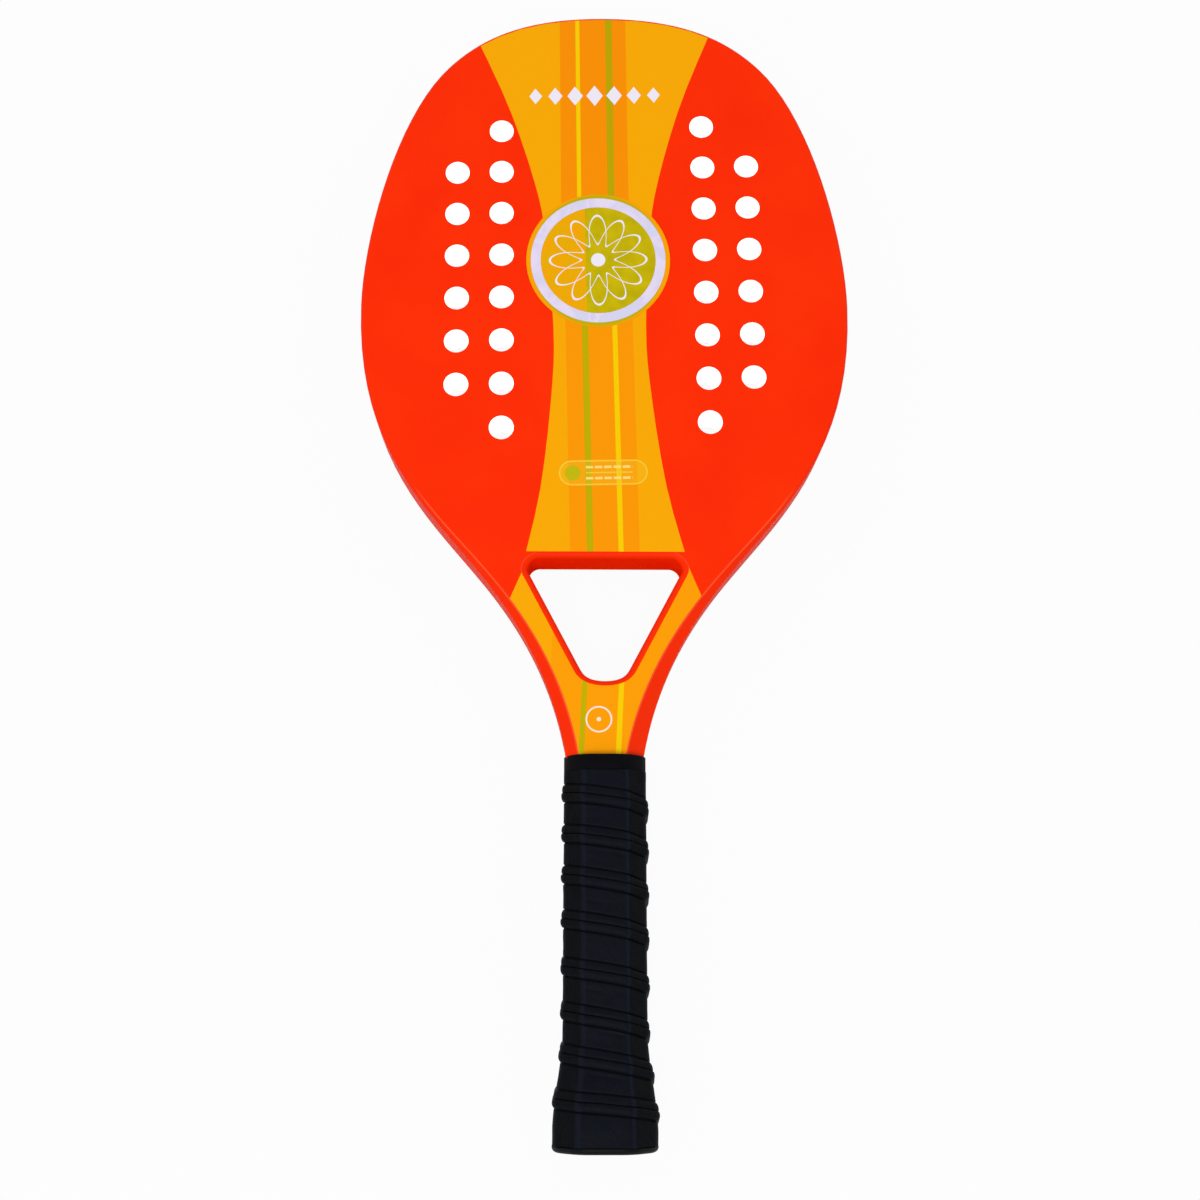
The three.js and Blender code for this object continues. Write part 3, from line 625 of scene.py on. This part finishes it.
# A face filled into a closed outline
def curved_face(name, outline):
    bpy.ops.object.select_all(action="DESELECT")
    bpy.ops.curve.primitive_bezier_curve_add()
    curve = made(name)
    curve.data.dimensions = "2D"
    curve.data.fill_mode = "NONE"
    curve.data.resolution_u = CURVE_STEPS
    spline = curve.data.splines[0]
    spline.bezier_points.add(len(outline) - len(spline.bezier_points))
    spline.use_cyclic_u = True
    for k, (place, before, after) in enumerate(outline):
        point = spline.bezier_points[k]
        point.handle_left_type = point.handle_right_type = "FREE"
        here = Vector((place[0], place[1], 0))
        last = Vector((*outline[k - 1][0], 0))
        following = Vector((*outline[(k + 1) % len(outline)][0], 0))
        point.co = here * MM
        point.handle_left = (Vector((*before, 0)) if before else here.lerp(last, 1 / 3)) * MM
        point.handle_right = (Vector((*after, 0)) if after else here.lerp(following, 1 / 3)) * MM
    only(curve)
    bpy.ops.object.convert(target="MESH")
    piece = made(name)
    bpy.ops.object.mode_set(mode="EDIT")
    bpy.ops.mesh.select_all(action="SELECT")
    bpy.ops.mesh.remove_doubles(threshold=WELD * MM)
    bpy.ops.mesh.edge_face_add()
    bpy.ops.object.mode_set(mode="OBJECT")
    return piece


def extruded(piece, low_z, high_z):
    only(piece)
    bpy.ops.object.mode_set(mode="EDIT")
    bpy.ops.mesh.select_all(action="SELECT")
    bpy.ops.transform.translate(value=(0, 0, low_z * MM))
    thickened((0, 0, (high_z - low_z) * MM))
    return piece


def mirrored(piece):
    return modified(piece, "MIRROR", use_axis=(True, False, False), use_mirror_merge=True,
                    merge_threshold=WELD * MM)


# Rises smoothly from 0 to 1 as the share does
def ease(share):
    part = min(max(share, 0), 1)
    return part * part * (3 - 2 * part)


# Whether a place is in the throat opening or within some reach of it
def at_opening(x, y, reach=EDGE_ROUND):
    within = OPENING_BOTTOM_Y - reach < y < OPENING_TOP_Y + reach
    return within and abs(x) < (y - OPENING_APEX_Y) * OPENING_SLOPE + OPENING_SIDE_ROUND + reach


def rim_bevel(x, y):
    if at_opening(x, y) or y < LEGS_END_Y + EDGE_ROUND:
        return 0
    share = ease((BEVEL_FADE_TOP_Y - y) / BEVEL_FADE_LENGTH)
    lean = BEVEL_LEAN * share * min(max(x / HANDLE_INSIDE_HALF, -1), 1)
    return HEAD_BEVEL + (NECK_BEVEL + lean - HEAD_BEVEL) * share


def opening_round(x, y):
    if not at_opening(x, y):
        return 0
    share = ease(min(OPENING_TOP_Y - y, y - OPENING_BOTTOM_Y) / OPENING_ROUND_FADE)
    return OPENING_END_ROUND + (OPENING_SIDE_ROUND - OPENING_END_ROUND) * share


FLAT_NORMAL = 0.9


# Bevels the edges of the flat faces, each as wide as a function of its place says
def bevelled(piece, width_at, widest, segments):
    mesh = piece.data
    name = "bevel_weight_edge"
    weights = mesh.attributes.get(name) or mesh.attributes.new(name, "FLOAT", "EDGE")
    flat_faces = [face for face in mesh.polygons if abs(face.normal.z) > FLAT_NORMAL]
    count = {}
    for face in flat_faces:
        for key in face.edge_keys:
            count[key] = count.get(key, 0) + 1
    for edge in mesh.edges:
        middle = sum((mesh.vertices[k].co for k in edge.vertices), Vector()) / 2 / MM
        is_rim = count.get(edge.key, 0) == 1
        weights.data[edge.index].value = width_at(middle.x, middle.y) / widest if is_rim else 0
    return modified(piece, "BEVEL", limit_method="WEIGHT", width=widest * MM, segments=segments,
                    use_clamp_overlap=False)


def hole_centres():
    centres = []
    for side in (-1, 1):
        for column, rows in enumerate(COLUMN_ROWS):
            for row in range(rows):
                x = side * (INNER_COLUMN_X + column * COLUMN_PITCH)
                y = (row - (rows - 1) / 2) * ROW_PITCH
                centres.append((
                    HOLE_CENTRE[0] + x * math.cos(ROW_TURN) - y * math.sin(COLUMN_TURN),
                    HOLE_CENTRE[1] + x * math.sin(ROW_TURN) + y * math.cos(COLUMN_TURN)))
    return centres


# The drills of all the holes, joined to one cutting tool
def drill_set(width):
    bpy.ops.object.select_all(action="DESELECT")
    bpy.ops.mesh.primitive_cylinder_add(
        vertices=CIRCLE_STEPS, radius=width / 2 * MM, depth=2 * THICKNESS * MM,
        location=vector(0, 0, MIDDLE_Z))
    first = place_applied(made("drill"))
    drills = []
    for x, y in hole_centres():
        drill = copied(first, "drill")
        drill.data.transform(Matrix.Translation(vector(x, y)))
        drills.append(drill)
    dropped(first)
    only(drills[0])
    for drill in drills:
        drill.select_set(True)
    bpy.ops.object.join()
    return drills[0]


# Painted highlight at the edge of the flat face: how strongly it is painted, from a half on, along
# the rim below the head's middle and in the opening's upper corners
HIGHLIGHT_RIM_TOP_Y = 50
HIGHLIGHT_RIM_FADE = 40
HIGHLIGHT_RIM = 0.64
HIGHLIGHT_CORNER_X = 29
HIGHLIGHT_CORNER_Y = -18
HIGHLIGHT_CORNER = 0.72
FACE_REACH = 0.02

# How upright the normals are of the bevels beside a flat face, and of walls
BEVEL_NORMALS = (0.75, 0.995)
WALL_NORMAL = 0.1
DULL_WALL_NORMAL = 0.5


def edge_highlight_at(x, y):
    if at_opening(x, y, OPENING_SIDE_ROUND):
        return HIGHLIGHT_CORNER if abs(x) > HIGHLIGHT_CORNER_X and y > HIGHLIGHT_CORNER_Y else 0
    return HIGHLIGHT_RIM * ease((HIGHLIGHT_RIM_TOP_Y - y) / HIGHLIGHT_RIM_FADE)


# Paints the highlight on the bevel faces beside the flat face
def mark_painted_edge_highlight(piece):
    mesh = piece.data
    share = mesh.attributes.new(EDGE_HIGHLIGHT, "FLOAT", "CORNER")
    least, most = BEVEL_NORMALS
    for face in mesh.polygons:
        if least < abs(face.normal.z) < most:
            for k in face.loop_indices:
                x, y, z = mesh.vertices[mesh.loops[k].vertex_index].co / MM
                reach = FACE_REACH if at_opening(x, y, OPENING_SIDE_ROUND) else EDGE_ROUND
                is_edge = THICKNESS / 2 - abs(z - MIDDLE_Z) < reach
                share.data[k].value = edge_highlight_at(x, y) if is_edge else 0


# Marks the walls that the drill cut: white laminate, which the lacquer gives a painted glow
def mark_drilled_walls(piece):
    mesh = piece.data
    share = mesh.attributes.new(BARE_LAMINATE_AND_GLOW, "FLOAT", "FACE")
    centres = [Vector(centre) for centre in hole_centres()]
    for face in mesh.polygons:
        if abs(face.normal.z) < WALL_NORMAL:
            nearest = min((face.center.xy / MM - centre).length for centre in centres)
            share.data[face.index].value = 1 if nearest < HOLE_WIDTH / 2 + SKIN_STEP else 0


def mark_dull_walls(piece):
    mesh = piece.data
    share = mesh.attributes.new(DULL_WALL, "FLOAT", "FACE")
    for face in mesh.polygons:
        x, y = face.center.xy / MM
        is_dull = abs(face.normal.z) < DULL_WALL_NORMAL and at_opening(x, y)
        share.data[face.index].value = 1 if is_dull else 0


SMALL_EDGE_ANGLE = math.radians(35)


# The body before it is drilled: the slab with its bevelled rim, the opening's rounded edges and
# every small edge broken
def body_blank(name):
    body = mirrored(curved_face(name, BODY_OUTLINE))
    extruded(body, MIDDLE_Z - THICKNESS / 2, FRONT_Z)
    bevelled(body, rim_bevel, NECK_BEVEL + BEVEL_LEAN, segments=1)
    bevelled(body, opening_round, OPENING_SIDE_ROUND, segments=4)
    return modified(body, "BEVEL", limit_method="ANGLE", angle_limit=SMALL_EDGE_ANGLE,
                    width=EDGE_ROUND * MM, segments=2, use_clamp_overlap=False)


def moulded_body(blank):
    body = copied(blank, "moulded_body")
    cut(body, drill_set(HOLE_WIDTH))
    mark_painted_edge_highlight(body)
    mark_drilled_walls(body)
    mark_dull_walls(body)
    smooth(body, BODY_SMOOTHING)
    return modified(body, "WEIGHTED_NORMAL", keep_sharp=True, weight=100)


# Each bound of the throat's print is a point of its border and the way out of the print there
THROAT_PRINT_BOUNDS = [
    ((0, -14), (0, 1)), ((-35.8, -17.4), (-0.92, 0.39)), ((36.6, -16.3), (0.92, 0.38)),
    ((0, COLLAR_TOP_Y), (0, -1))]
LEAST_FACE_AREA = 1000


# Throat print: a film on the blank's front or back face, with that face's edges on the arms and
# the neck
def throat_film(blank, name, side):
    film = copied(blank, name)
    only(film)
    bpy.context.tool_settings.mesh_select_mode = (False, False, True)
    for face in film.data.polygons:
        is_flat_face = face.area > LEAST_FACE_AREA * MM * MM and face.normal.z * side > 0
        face.select = not is_flat_face
    bpy.ops.object.mode_set(mode="EDIT")
    bpy.ops.mesh.delete(type="FACE")
    bpy.ops.object.mode_set(mode="OBJECT")
    for spot in film.data.vertices:
        spot.co.z = (MIDDLE_Z + side * THICKNESS / 2) * MM
    bpy.ops.object.mode_set(mode="EDIT")
    for place, outwards in THROAT_PRINT_BOUNDS:
        bpy.ops.mesh.select_all(action="SELECT")
        bpy.ops.mesh.bisect(plane_co=vector(*place), plane_no=(*outwards, 0), clear_outer=True)
    bpy.ops.mesh.select_all(action="SELECT")
    thickened((0, 0, side * PRINT_THICKNESS * MM))
    return film


# Foam core: the slab inside the head, seen in the holes' walls
CORE_OUTLINE = [
    ((0, 237), None, (36, 237)),
    ((63, 213), (50, 225.5), (84, 190)),
    ((95, 106), (95, 134), (95, 52)),
    ((55, 5), (76, 27), None),
    ((0, 5), None, None),
]


def foam_core():
    core = mirrored(curved_face("foam_core_slab", CORE_OUTLINE))
    extruded(core, MIDDLE_Z - THICKNESS / 2 + SKIN_THICKNESS, FRONT_Z - SKIN_THICKNESS)
    cut(core, drill_set(HOLE_WIDTH - 2 * SKIN_STEP))
    return smooth(core, BODY_SMOOTHING)


# Wound grip

# Half the width across the octagon's sides, growing to the flare at the butt
def handle_half(y):
    share = ease((FLARE_TOP_Y - y) / (FLARE_TOP_Y - FLARE_BOTTOM_Y))
    return GRIP_HALF + (FLARE_HALF - GRIP_HALF) * share


OCTAGON = [
    (-1, 0), (-1, OCTAGON_SIDE), (-OCTAGON_FLAT, OCTAGON_DEPTH), (OCTAGON_FLAT, OCTAGON_DEPTH),
    (1, OCTAGON_SIDE), (1, -OCTAGON_SIDE), (OCTAGON_FLAT, -OCTAGON_DEPTH),
    (-OCTAGON_FLAT, -OCTAGON_DEPTH), (-1, -OCTAGON_SIDE), (-1, 0),
]


# A point on the octagon for a half width of one, from the middle of the left side over the front
def on_octagon(turn):
    corners = [Vector(corner) for corner in OCTAGON]
    lengths = [(b - a).length for a, b in zip(corners, corners[1:])]
    left = (turn % 1) * sum(lengths)
    for a, b, length in zip(corners, corners[1:], lengths):
        if left <= length:
            return a.lerp(b, left / length)
        left -= length
    return corners[-1]


CORNER_REACH = 0.012


# The octagon with its corners rounded as the strip goes over them
def round_octagon(turn):
    spots = [on_octagon(turn + k * CORNER_REACH) for k in (-1, -0.5, 0, 0.5, 1)]
    return sum(spots, Vector((0, 0))) / len(spots)


# The strip drops unevenly in each turn: least on the left of the front, most on its right
DROP_SWAY = 0.52
DROP_SWAY_START = 0.05

# A hand-wound strip wanders: how far each half turn lies too low
SEAM_WANDER = [0, 0, -0.8, -0.6, -1.5, -0.6, -1, 0, 0.4, 1.3, 0.4, 1.8, -0.8, 0.4, -0.6, -1.8, 0]
WANDER_MARGIN = 0.001


def wander_at(turn):
    half_turns = min(max(2 * turn, 0), len(SEAM_WANDER) - 1 - WANDER_MARGIN)
    k = int(half_turns)
    return SEAM_WANDER[k] + (SEAM_WANDER[k + 1] - SEAM_WANDER[k]) * ease(half_turns - k)


# How far the strip has dropped after some turns
def drop_after(turn):
    angle = 2 * math.pi * (turn - DROP_SWAY_START)
    start = -2 * math.pi * DROP_SWAY_START
    sway = DROP_SWAY / (2 * math.pi) * (math.sin(angle) - math.sin(start))
    return TURN_PITCH * (turn - sway) + wander_at(turn)


# The beads along the strip's upper and lower edge, and the groove beside each
UPPER_BEAD = {"width": 3.6, "height": 1.1}
LOWER_BEAD = {"width": 3.2, "height": 0.8}
BEAD_START = 0.2
BEAD_FULLNESS = 0.6
GROOVE_WIDTH = 0.9
GROOVE_DEPTH = 0.45
BEAD_SHARES = [0, 0.03, 0.09, 0.18, 0.32, 0.5, 0.68, 0.82, 0.91, 0.97, 1]
GROOVE_SHARES = [0.25, 0.5, 0.75, 1]


# Height of the strip's face over its flat middle, at a distance from one long edge
def strip_height(distance, bead):
    if distance < bead["width"]:
        share = BEAD_START + (1 - BEAD_START) * distance / bead["width"]
        return bead["height"] * max(math.sin(math.pi * share), 0) ** BEAD_FULLNESS
    past = (distance - bead["width"]) / GROOVE_WIDTH
    return -GROOVE_DEPTH * math.sin(math.pi * past) if past < 1 else 0.0


STRIP_STEPS_ROUND = 96
FIRST_TURN = -1.445
LAST_TURN = 7.93
MIDDLE_STEPS = 13
EDGE_TUCK = 0.3
EDGE_TUCK_WIDTH = 0.3
MOST_FOR_EDGES = 0.9
SEAM_SHADE = 0.5
BEAD_START_TURN = -0.3
BEAD_START_LENGTH = 0.25
BEAD_END_TURN = 6.6
BEAD_END_LENGTH = 0.3

# Creases pressed in by the winding: the turn of its middle, half its length in turns, and its
# distance from the strip's upper edge
CREASES = [(1.28, 0.1, 6.0), (2.2, 0.06, 9.5), (3.74, 0.09, 6.4), (4.2, 0.05, 7.5), (5.28, 0.06, 5.6),
           (6.26, 0.07, 6.2), (6.8, 0.08, 9.0)]
CREASE_WIDTH = 1.6
CREASE_DEPTH = 0.4

# Low rucks all over the strip, as many to a turn and to a millimetre across it
RUCK_HEIGHT = 0.18
RUCKS_A_TURN = 9
RUCKS_ACROSS = 0.18
RUCK_SEED = 3.1


def crease_at(turn, along):
    depth = 0
    for middle, half_length, distance in CREASES:
        past_end = abs(turn - middle) / half_length
        aside = abs(along - distance) / (CREASE_WIDTH / 2)
        depth += CREASE_DEPTH * max(0, 1 - past_end) ** 0.5 * max(0, 1 - aside)
    return depth


# Painted sheen: a painted highlight, strongest where the strip lies over an edge of the handle, and
# some painted light on its front and back
SHEEN_REACH = 0.09
FLAT_SHEEN = 0.35


def painted_sheen_at(turn):
    place = on_octagon(turn)
    at_edge = 1 - min((place - Vector(corner)).length for corner in OCTAGON[1:-1]) / SHEEN_REACH
    return max(at_edge, FLAT_SHEEN if abs(place.x) < OCTAGON_FLAT else 0)


# Distances from one long edge over its bead and groove, squeezed where the strip is narrow
def edge_stops(bead, fit):
    stops = [share * bead["width"] for share in BEAD_SHARES]
    stops += [bead["width"] + share * GROOVE_WIDTH for share in GROOVE_SHARES]
    return [stop * fit for stop in stops]


# Distances across the strip from its upper edge, close together over the beads at both edges
def strip_stops(width):
    need = UPPER_BEAD["width"] + LOWER_BEAD["width"] + 2 * GROOVE_WIDTH
    fit = min(1, MOST_FOR_EDGES * width / need)
    upper = edge_stops(UPPER_BEAD, fit)
    lower = edge_stops(LOWER_BEAD, fit)
    flat = width - upper[-1] - lower[-1]
    middle = [upper[-1] + flat * k / MIDDLE_STEPS for k in range(1, MIDDLE_STEPS)]
    return upper + middle + [width - stop for stop in reversed(lower)]


# Where the strip's edges lie after some turns, cut straight at the top band and at the butt cap's
# lip, and how much of each edge's bead is there
def strip_edges(turn):
    upper = FIRST_SEAM_Y + SEAM_OVERLAP / 2 - drop_after(turn)
    lower = FIRST_SEAM_Y - SEAM_OVERLAP / 2 - drop_after(turn + 1)
    upper_bead = ease((turn - BEAD_START_TURN) / BEAD_START_LENGTH)
    lower_bead = 1 - ease((turn - BEAD_END_TURN) / BEAD_END_LENGTH)
    return min(upper, GRIP_TOP_Y), max(lower, GRIP_BOTTOM_Y), upper_bead, lower_bead


def wound_grip():
    turn_steps = round((LAST_TURN - FIRST_TURN) * STRIP_STEPS_ROUND)
    across_steps = len(strip_stops(TURN_PITCH)) - 1
    bpy.ops.object.select_all(action="DESELECT")
    bpy.ops.mesh.primitive_grid_add(x_subdivisions=turn_steps, y_subdivisions=across_steps, size=2)
    grip = place_applied(made("wound_grip"))
    painted_sheen = grip.data.attributes.new(PAINTED_SHEEN, "FLOAT", "POINT")
    painted_shade = grip.data.attributes.new(PAINTED_SHADE, "FLOAT", "POINT")
    for spot in grip.data.vertices:
        turn = FIRST_TURN + (spot.co.x + 1) / 2 * (LAST_TURN - FIRST_TURN)
        upper, lower, upper_bead, lower_bead = strip_edges(turn)
        width = upper - lower
        along = strip_stops(width)[round((spot.co.y + 1) / 2 * across_steps)]
        from_lower = width - along
        height = strip_height(along, UPPER_BEAD) * upper_bead
        height += strip_height(from_lower, LOWER_BEAD) * lower_bead
        ruck_place = Vector((turn * RUCKS_A_TURN, (upper - along) * RUCKS_ACROSS, RUCK_SEED))
        ruck = noise.noise(ruck_place) * RUCK_HEIGHT - crease_at(turn, along)
        direction = round_octagon(turn)
        tuck = EDGE_TUCK * max(0, 1 - min(along, from_lower) / EDGE_TUCK_WIDTH)
        half = handle_half(upper - along) + height + ruck - tuck
        spot.co = vector(direction.x * half, upper - along, MIDDLE_Z + direction.y * half)
        # Painted sheen over the handle's edges, front and back
        painted_sheen.data[spot.index].value = painted_sheen_at(turn)
        # Painted shade: darkest at the seams and in the grooves
        at_seam = 1 - min(along, from_lower) / SEAM_SHADE
        painted_shade.data[spot.index].value = min(1, max(0, at_seam, -height / GROOVE_DEPTH))
    only(grip)
    bpy.ops.object.mode_set(mode="EDIT")
    bpy.ops.mesh.select_all(action="SELECT")
    bpy.ops.mesh.flip_normals()
    bpy.ops.object.mode_set(mode="OBJECT")
    modified(grip, "SOLIDIFY", thickness=STRIP_THICKNESS * MM, offset=-1)
    return smooth(grip, GRIP_SMOOTHING)


# Butt cap and collar: both the handle's octagon, with corners rounded as the strip leaves them

CORNER_ROUND = 4.5
CORNER_STEPS = 6
CAP_HALF = 21.1
CAP_LIP_TOP_Y = -247.7
CAP_ROUND = 2.1
CAP_LEDGE = 2.5
CAP_END = 3
CAP_WALL = 1.5
SKIRT_TOP_Y = -224
SKIRT_NARROWING = 0.9
CORD_HOLE_WIDTH = 6
CORD_MOUTH = 0.6
COLLAR_ROUND = 0.25


# A length of the octagon between two heights on the handle
def octagon_block(name, half, low_y, high_y):
    bpy.ops.object.select_all(action="DESELECT")
    bpy.ops.mesh.primitive_circle_add(vertices=8, radius=half * MM, fill_type="NGON")
    block = made(name)
    for spot, corner in zip(block.data.vertices, OCTAGON[1:-1]):
        spot.co = vector(corner[0] * half, low_y, MIDDLE_Z + corner[1] * half)
    only(block)
    bpy.ops.object.mode_set(mode="EDIT")
    bpy.ops.mesh.select_all(action="SELECT")
    bpy.ops.mesh.bevel(offset=CORNER_ROUND * MM, segments=CORNER_STEPS, affect="VERTICES")
    bpy.ops.mesh.select_all(action="SELECT")
    thickened((0, (high_y - low_y) * MM, 0))
    return place_applied(block)


def end_rounded(block, end_y, width, segments):
    choose(block, "EDGE", lambda spot: abs(spot.y - end_y) < NEAR)
    bpy.ops.mesh.bevel(offset=width * MM, segments=segments, affect="EDGES")
    bpy.ops.object.mode_set(mode="OBJECT")


def butt_cap():
    cap = octagon_block("butt_cap_moulding", CAP_HALF, BUTT_Y, CAP_LIP_TOP_Y)
    end_rounded(cap, BUTT_Y, CAP_ROUND, segments=5)
    choose(cap, "FACE", lambda spot: spot.y > CAP_LIP_TOP_Y - NEAR)
    bpy.ops.mesh.inset(thickness=CAP_LEDGE * MM)
    bpy.ops.mesh.extrude_region_move(
        TRANSFORM_OT_translate={"value": (0, (SKIRT_TOP_Y - CAP_LIP_TOP_Y) * MM, 0)})
    narrow = (SKIRT_NARROWING, 1, SKIRT_NARROWING)
    bpy.ops.transform.resize(value=narrow, center_override=vector(0, SKIRT_TOP_Y, MIDDLE_Z))
    bpy.ops.mesh.inset(thickness=CAP_WALL * MM)
    bpy.ops.mesh.extrude_region_move(
        TRANSFORM_OT_translate={"value": (0, (BUTT_Y + CAP_END - SKIRT_TOP_Y) * MM, 0)})
    widen = (1 / SKIRT_NARROWING, 1, 1 / SKIRT_NARROWING)
    bpy.ops.transform.resize(value=widen, center_override=vector(0, BUTT_Y, MIDDLE_Z))
    bpy.ops.object.mode_set(mode="OBJECT")
    bpy.ops.mesh.primitive_cylinder_add(
        vertices=CIRCLE_STEPS, radius=CORD_HOLE_WIDTH / 2 * MM, depth=4 * CAP_END * MM,
        location=vector(0, BUTT_Y, MIDDLE_Z), rotation=(math.pi / 2, 0, 0))
    cut(cap, place_applied(made("cord_bore")))
    bpy.ops.mesh.primitive_cone_add(
        vertices=CIRCLE_STEPS, radius1=(CORD_HOLE_WIDTH / 2 + 2 * CORD_MOUTH) * MM,
        radius2=CORD_HOLE_WIDTH / 2 * MM, depth=2 * CORD_MOUTH * MM,
        location=vector(0, BUTT_Y, MIDDLE_Z), rotation=(-math.pi / 2, 0, 0))
    cut(cap, place_applied(made("cord_mouth")))
    return smooth(cap, BLOCK_SMOOTHING)


def neck_band():
    band = octagon_block("neck_band", COLLAR_HALF, COLLAR_BOTTOM_Y, COLLAR_TOP_Y)
    for end_y in (COLLAR_TOP_Y, COLLAR_BOTTOM_Y):
        end_rounded(band, end_y, COLLAR_ROUND, segments=3)
    return smooth(band, BLOCK_SMOOTHING)


# Floor, light and camera: sizes and places of the floor and the lamps in metres

FLOOR_SIZE = 8
FLOOR_PAINT = "D2D2D2"
FLOOR_GLOW = 0.95
FLOOR_MIRRORED_GLOW = 0.25
SKY_STRENGTH = 0.57
CEILING_FADE = {"From Min": 0.25, "From Max": 0.7, "To Min": 1.0, "To Max": 0.2}

# Each lamp's place, size and watts
LAMPS = {
    "key_softbox": ((-0.3, -1.1, 2.1), 1.0, 22.0),
    "left_softbox": ((-1.5, 0.9, 1.2), 0.8, 4.5),
    "right_softbox": ((1.5, 0.9, 1.2), 0.8, 4.5),
}

# The camera's place in mm, its own right and up, its focal length and its sensor's width
CAMERA_PLACE = (-11.9, -190.1, 684.6)
CAMERA_RIGHT = (0.9999, 0, 0.0149)
CAMERA_UP = (-0.0036, 0.9708, 0.2398)
CAMERA_LENS = 48
CAMERA_SENSOR = 36


# White paper: it glows for the camera and a little in reflections, and still takes the shadow
def white_floor():
    bpy.ops.object.select_all(action="DESELECT")
    bpy.ops.mesh.primitive_plane_add(size=FLOOR_SIZE)
    floor = made("floor")
    paper = bpy.data.materials.new("pale_paper")
    tree = empty_tree(paper)
    ray = node(tree, "ShaderNodeLightPath").outputs
    mirrored_ray = calculated(tree, "MAXIMUM", ray["Is Glossy Ray"], ray["Is Transmission Ray"])
    mirrored_share = calculated(tree, "MULTIPLY", mirrored_ray, FLOOR_MIRRORED_GLOW)
    share = calculated(tree, "MULTIPLY_ADD", ray["Is Camera Ray"], FLOOR_GLOW, mirrored_share)
    paint = node(tree, "ShaderNodeBsdfDiffuse", {"Color": linear(FLOOR_PAINT)}).outputs[0]
    glow = node(tree, "ShaderNodeEmission", {"Color": linear(WHITE), "Strength": 1.0}).outputs[0]
    mix = node(tree, "ShaderNodeMixShader", {0: share, 1: paint, 2: glow})
    node(tree, "ShaderNodeOutputMaterial", {"Surface": mix.outputs[0]})
    floor.data.materials.append(paper)


# Three softboxes under an even sky, which the camera and reflections see as a white backdrop that
# fades towards a darker ceiling
def studio_light():
    world = bpy.data.worlds.new("studio")
    bpy.context.scene.world = world
    tree = empty_tree(world)
    ray = node(tree, "ShaderNodeLightPath").outputs
    direct = calculated(tree, "MAXIMUM", ray["Is Camera Ray"], ray["Is Glossy Ray"])
    seen = calculated(tree, "MAXIMUM", direct, ray["Is Transmission Ray"])
    sky = node(tree, "ShaderNodeBackground", {"Color": linear(WHITE), "Strength": SKY_STRENGTH})
    height = node(tree, "ShaderNodeSeparateXYZ", {
        0: node(tree, "ShaderNodeTexCoord").outputs["Generated"]})
    ceiling = node(tree, "ShaderNodeMapRange", {"Value": height.outputs["Z"], **CEILING_FADE})
    backdrop = node(tree, "ShaderNodeBackground", {
        "Color": linear(WHITE), "Strength": ceiling.outputs[0]})
    mix = node(tree, "ShaderNodeMixShader", {0: seen, 1: sky.outputs[0], 2: backdrop.outputs[0]})
    node(tree, "ShaderNodeOutputWorld", {"Surface": mix.outputs[0]})
    for name, (place, size, watts) in LAMPS.items():
        bpy.ops.object.light_add(type="AREA", location=place)
        lamp = bpy.context.object
        lamp.name = name
        lamp.data.size = size
        lamp.data.energy = watts
        lamp.rotation_euler = (-Vector(place)).to_track_quat("-Z", "Y").to_euler()


def photo_camera():
    right = Vector(CAMERA_RIGHT)
    up = Vector(CAMERA_UP)
    turn = Matrix((right, up, right.cross(up))).transposed()
    bpy.ops.object.camera_add(location=vector(*CAMERA_PLACE), rotation=turn.to_euler())
    camera = bpy.context.object
    camera.name = "photo_camera"
    camera.data.lens = CAMERA_LENS
    camera.data.sensor_width = CAMERA_SENSOR
    bpy.context.scene.camera = camera


# The racket

photo_camera()
studio_light()
white_floor()
bpy.context.scene.view_settings.view_transform = "Standard"

lacquer = material("sprayed_red_orange_lacquer", lacquer_surface)
blank = body_blank("body_blank")
finished(moulded_body(blank), lacquer, "painted_body",
         "frame_tube", "throat_bridge", "neck_filler", "front_skin", "back_skin")
finished(foam_core(), material("white_eva_foam", eva_surface), "eva_foam", "foam_core")
finished(wound_grip(), material("black_pu_grip_leather", grip_surface), "grip_leather", "grip_strip")

foil = material("holographic_foil", foil_surface)
steel = material("zinc_plated_steel_wire", staple_surface)
pallet_foam = material("rigid_pu_foam", moulded_surface, dark="CFC5A2", light="DED6B8",
                       roughness=0.9, gloss=0.1, grain=0.8, depth=0.1)
cap_plastic = material("moulded_black_abs", moulded_surface, dark="060709", light="0B0C0F",
                       roughness=0.5, gloss=0.1, grain=0.6, depth=0.03)
collar_rubber = material("black_rubber_band", moulded_surface, dark="050507", light="0A0B0F",
                         roughness=0.6, gloss=0.05, grain=0.5, depth=0.05)
finished(butt_cap(), cap_plastic, "cap_plastic", "butt_cap")
finished(neck_band(), collar_rubber, "collar_rubber", "neck_collar")
dressed = {
    "front_pallet": pallet_foam, "back_pallet": pallet_foam,
    "front_cap_staple": steel, "back_cap_staple": steel,
}
prints = {"head_panel": head_print_surface, "roundel": roundel_surface, "label": label_surface}
for face, side in (("front", 1), ("back", -1)):
    film = throat_film(blank, f"{face}_throat_film", side)
    ink = material(f"throat_print_{face}", throat_print_surface, side=side)
    finished(film, ink, "amber_print", f"{face}_throat_panel")
    dressed[f"{face}_foil_ring"] = foil
    for printed, surface in prints.items():
        dressed[f"{face}_{printed}"] = material(f"{printed}_print_{face}", surface, side=side)
dropped(blank)
for name, finish in dressed.items():
    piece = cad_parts[name]
    piece.data.materials.clear()
    piece.data.materials.append(finish)
